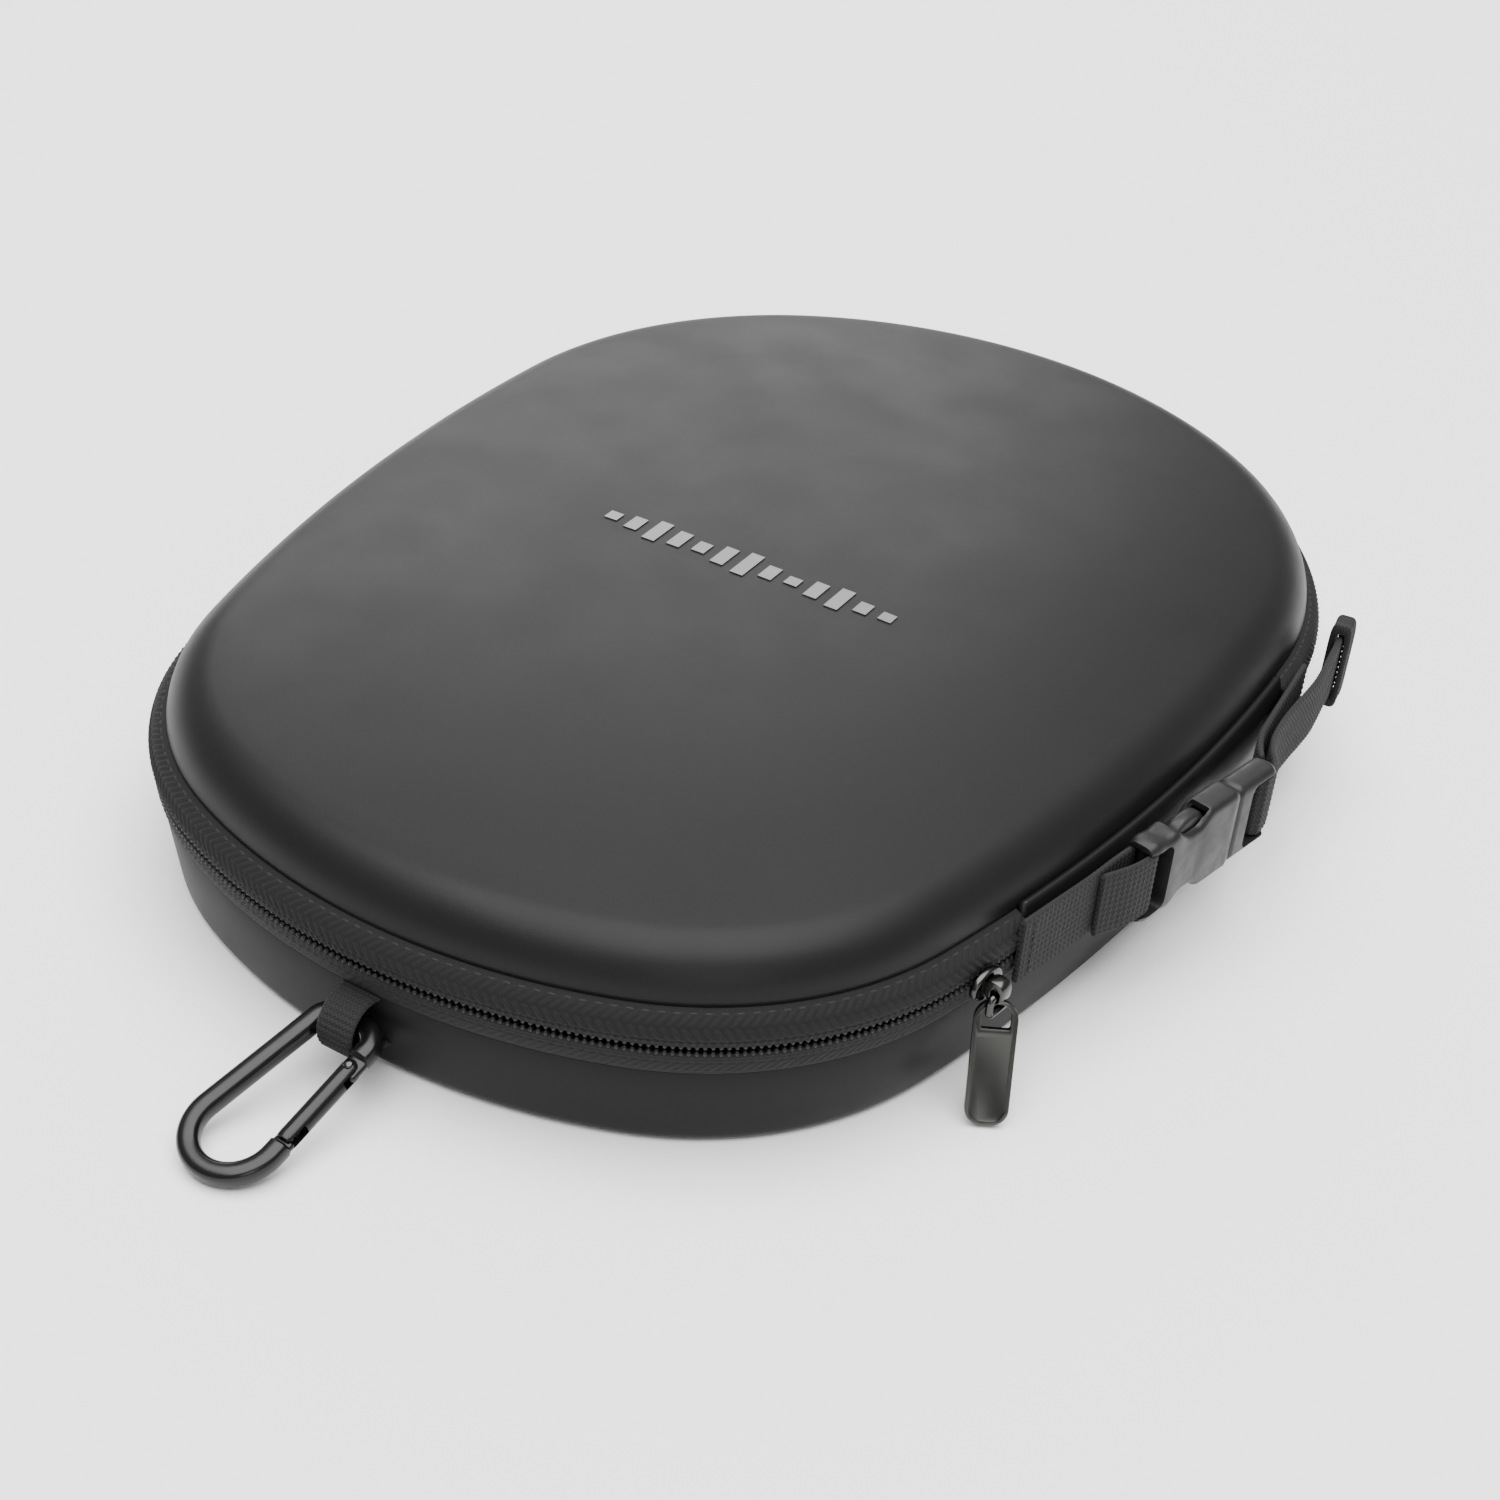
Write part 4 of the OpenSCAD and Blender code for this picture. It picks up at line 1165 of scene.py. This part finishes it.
foot = TAB_HEAD - TAB_L
recess = tab_outline(3.15, -4.6, foot + 0.75, 0.6, 2.4)
tab = carve(prism(tab_outline(TAB_W / 2, TAB_HEAD, foot, 3.6, 3.0), -TAB_T / 2, TAB_T / 2, TAB_PLANE),
            prism(tab_outline(2.68, 1.1, -3.4, 2.0, 0.5), -3, 3, TAB_PLANE),
            prism(recess, 0.58, 3, TAB_PLANE), prism(recess, -3, -0.58, TAB_PLANE))
solid("pull_tab_pressed", [softened(tab, 0.22)], GUNMETAL, "tab", "gunmetal", "pull_tab")

# ---- Zip stops ----
stops = []
for y in (-59.6, 34.1):
    xy, away = outline([run_at_y(y + 1.25)], -4.5)
    turn = math.atan2(away[0, 1], away[0, 0])
    at = Matrix.Translation((xy[0, 0], y + 1.25, 0)) @ Matrix.Rotation(turn, 4, "Z")
    stops.append(bar(-1.15, 1.15, 1.0, 0.95, 0.4, at, mid=23.2))
solid("zip_end_stops", stops, NYLON, "base", "plastic", "zip_stops")

# ---- Camera: at the photograph's angle ----
AZIMUTH, ELEVATION, ROLL = 29.22, 34.48, 4.61
DISTANCE = 489.1
TARGET = Vector((14.3, -36.65, 24.5)) * MM
az, el = math.radians(AZIMUTH), math.radians(ELEVATION)
back = Vector((math.sin(az) * math.cos(el), -math.cos(az) * math.cos(el), math.sin(el)))
cam_data = bpy.data.cameras.new("camera")
cam = linked("camera", cam_data)
cam_data.lens = 59.64
cam_data.sensor_width = 36
cam_data.shift_x, cam_data.shift_y = 0.012, -0.0103
cam.location = TARGET + back * DISTANCE * MM
cam.rotation_mode = "QUATERNION"
cam.rotation_quaternion = (-back).to_track_quat("-Z", "Y") @ Matrix.Rotation(math.radians(ROLL), 4, "Z").to_quaternion()
cam_data.clip_start, cam_data.clip_end = 0.01, 20
bpy.context.scene.camera = cam

# ---- Floor and lights ----
floor_mat = Nodes("pale_floor", (0.86, 0.86, 0.86), 0.7)
floor_mat.rough(floor_mat.spread(floor_mat.noise(floor_mat.coords(), 0.01), 0.3, 0.7, 0.66, 0.74))
floor_mesh = bpy.data.meshes.new("floor")
FLOOR = 3.0  # metres from the middle to each side
floor_mesh.from_pydata([(x * FLOOR, y * FLOOR, 0) for x, y in ((-1, -1), (1, -1), (1, 1), (-1, 1))], [], [(0, 1, 2, 3)])
floor_mesh.materials.append(floor_mat.mat)
floor = linked("floor", floor_mesh)


def soft_light(name, place, size, power):
    """A rectangular area light that faces the origin."""
    data = bpy.data.lights.new(name, "AREA")
    data.shape, data.size, data.size_y = "RECTANGLE", size[0], size[1]
    data.energy = power
    obj = linked(name, data)
    obj.location = place
    obj.rotation_mode = "QUATERNION"
    obj.rotation_quaternion = (-Vector(place)).to_track_quat("-Z", "Y")


soft_light("top_softbox", (0.1, -0.1, 2.4), (3.0, 3.0), 230)
soft_light("back_left_softbox", (-0.95, 1.2, 0.75), (1.2, 0.8), 13)
soft_light("front_right_softbox", (1.3, -1.5, 0.9), (0.8, 0.8), 8)
world = bpy.data.worlds.new("studio")
world.use_nodes = True
background = world.node_tree.nodes["Background"].inputs
background["Color"].default_value, background["Strength"].default_value = (1, 1, 1, 1), 0.45
bpy.context.scene.world = world
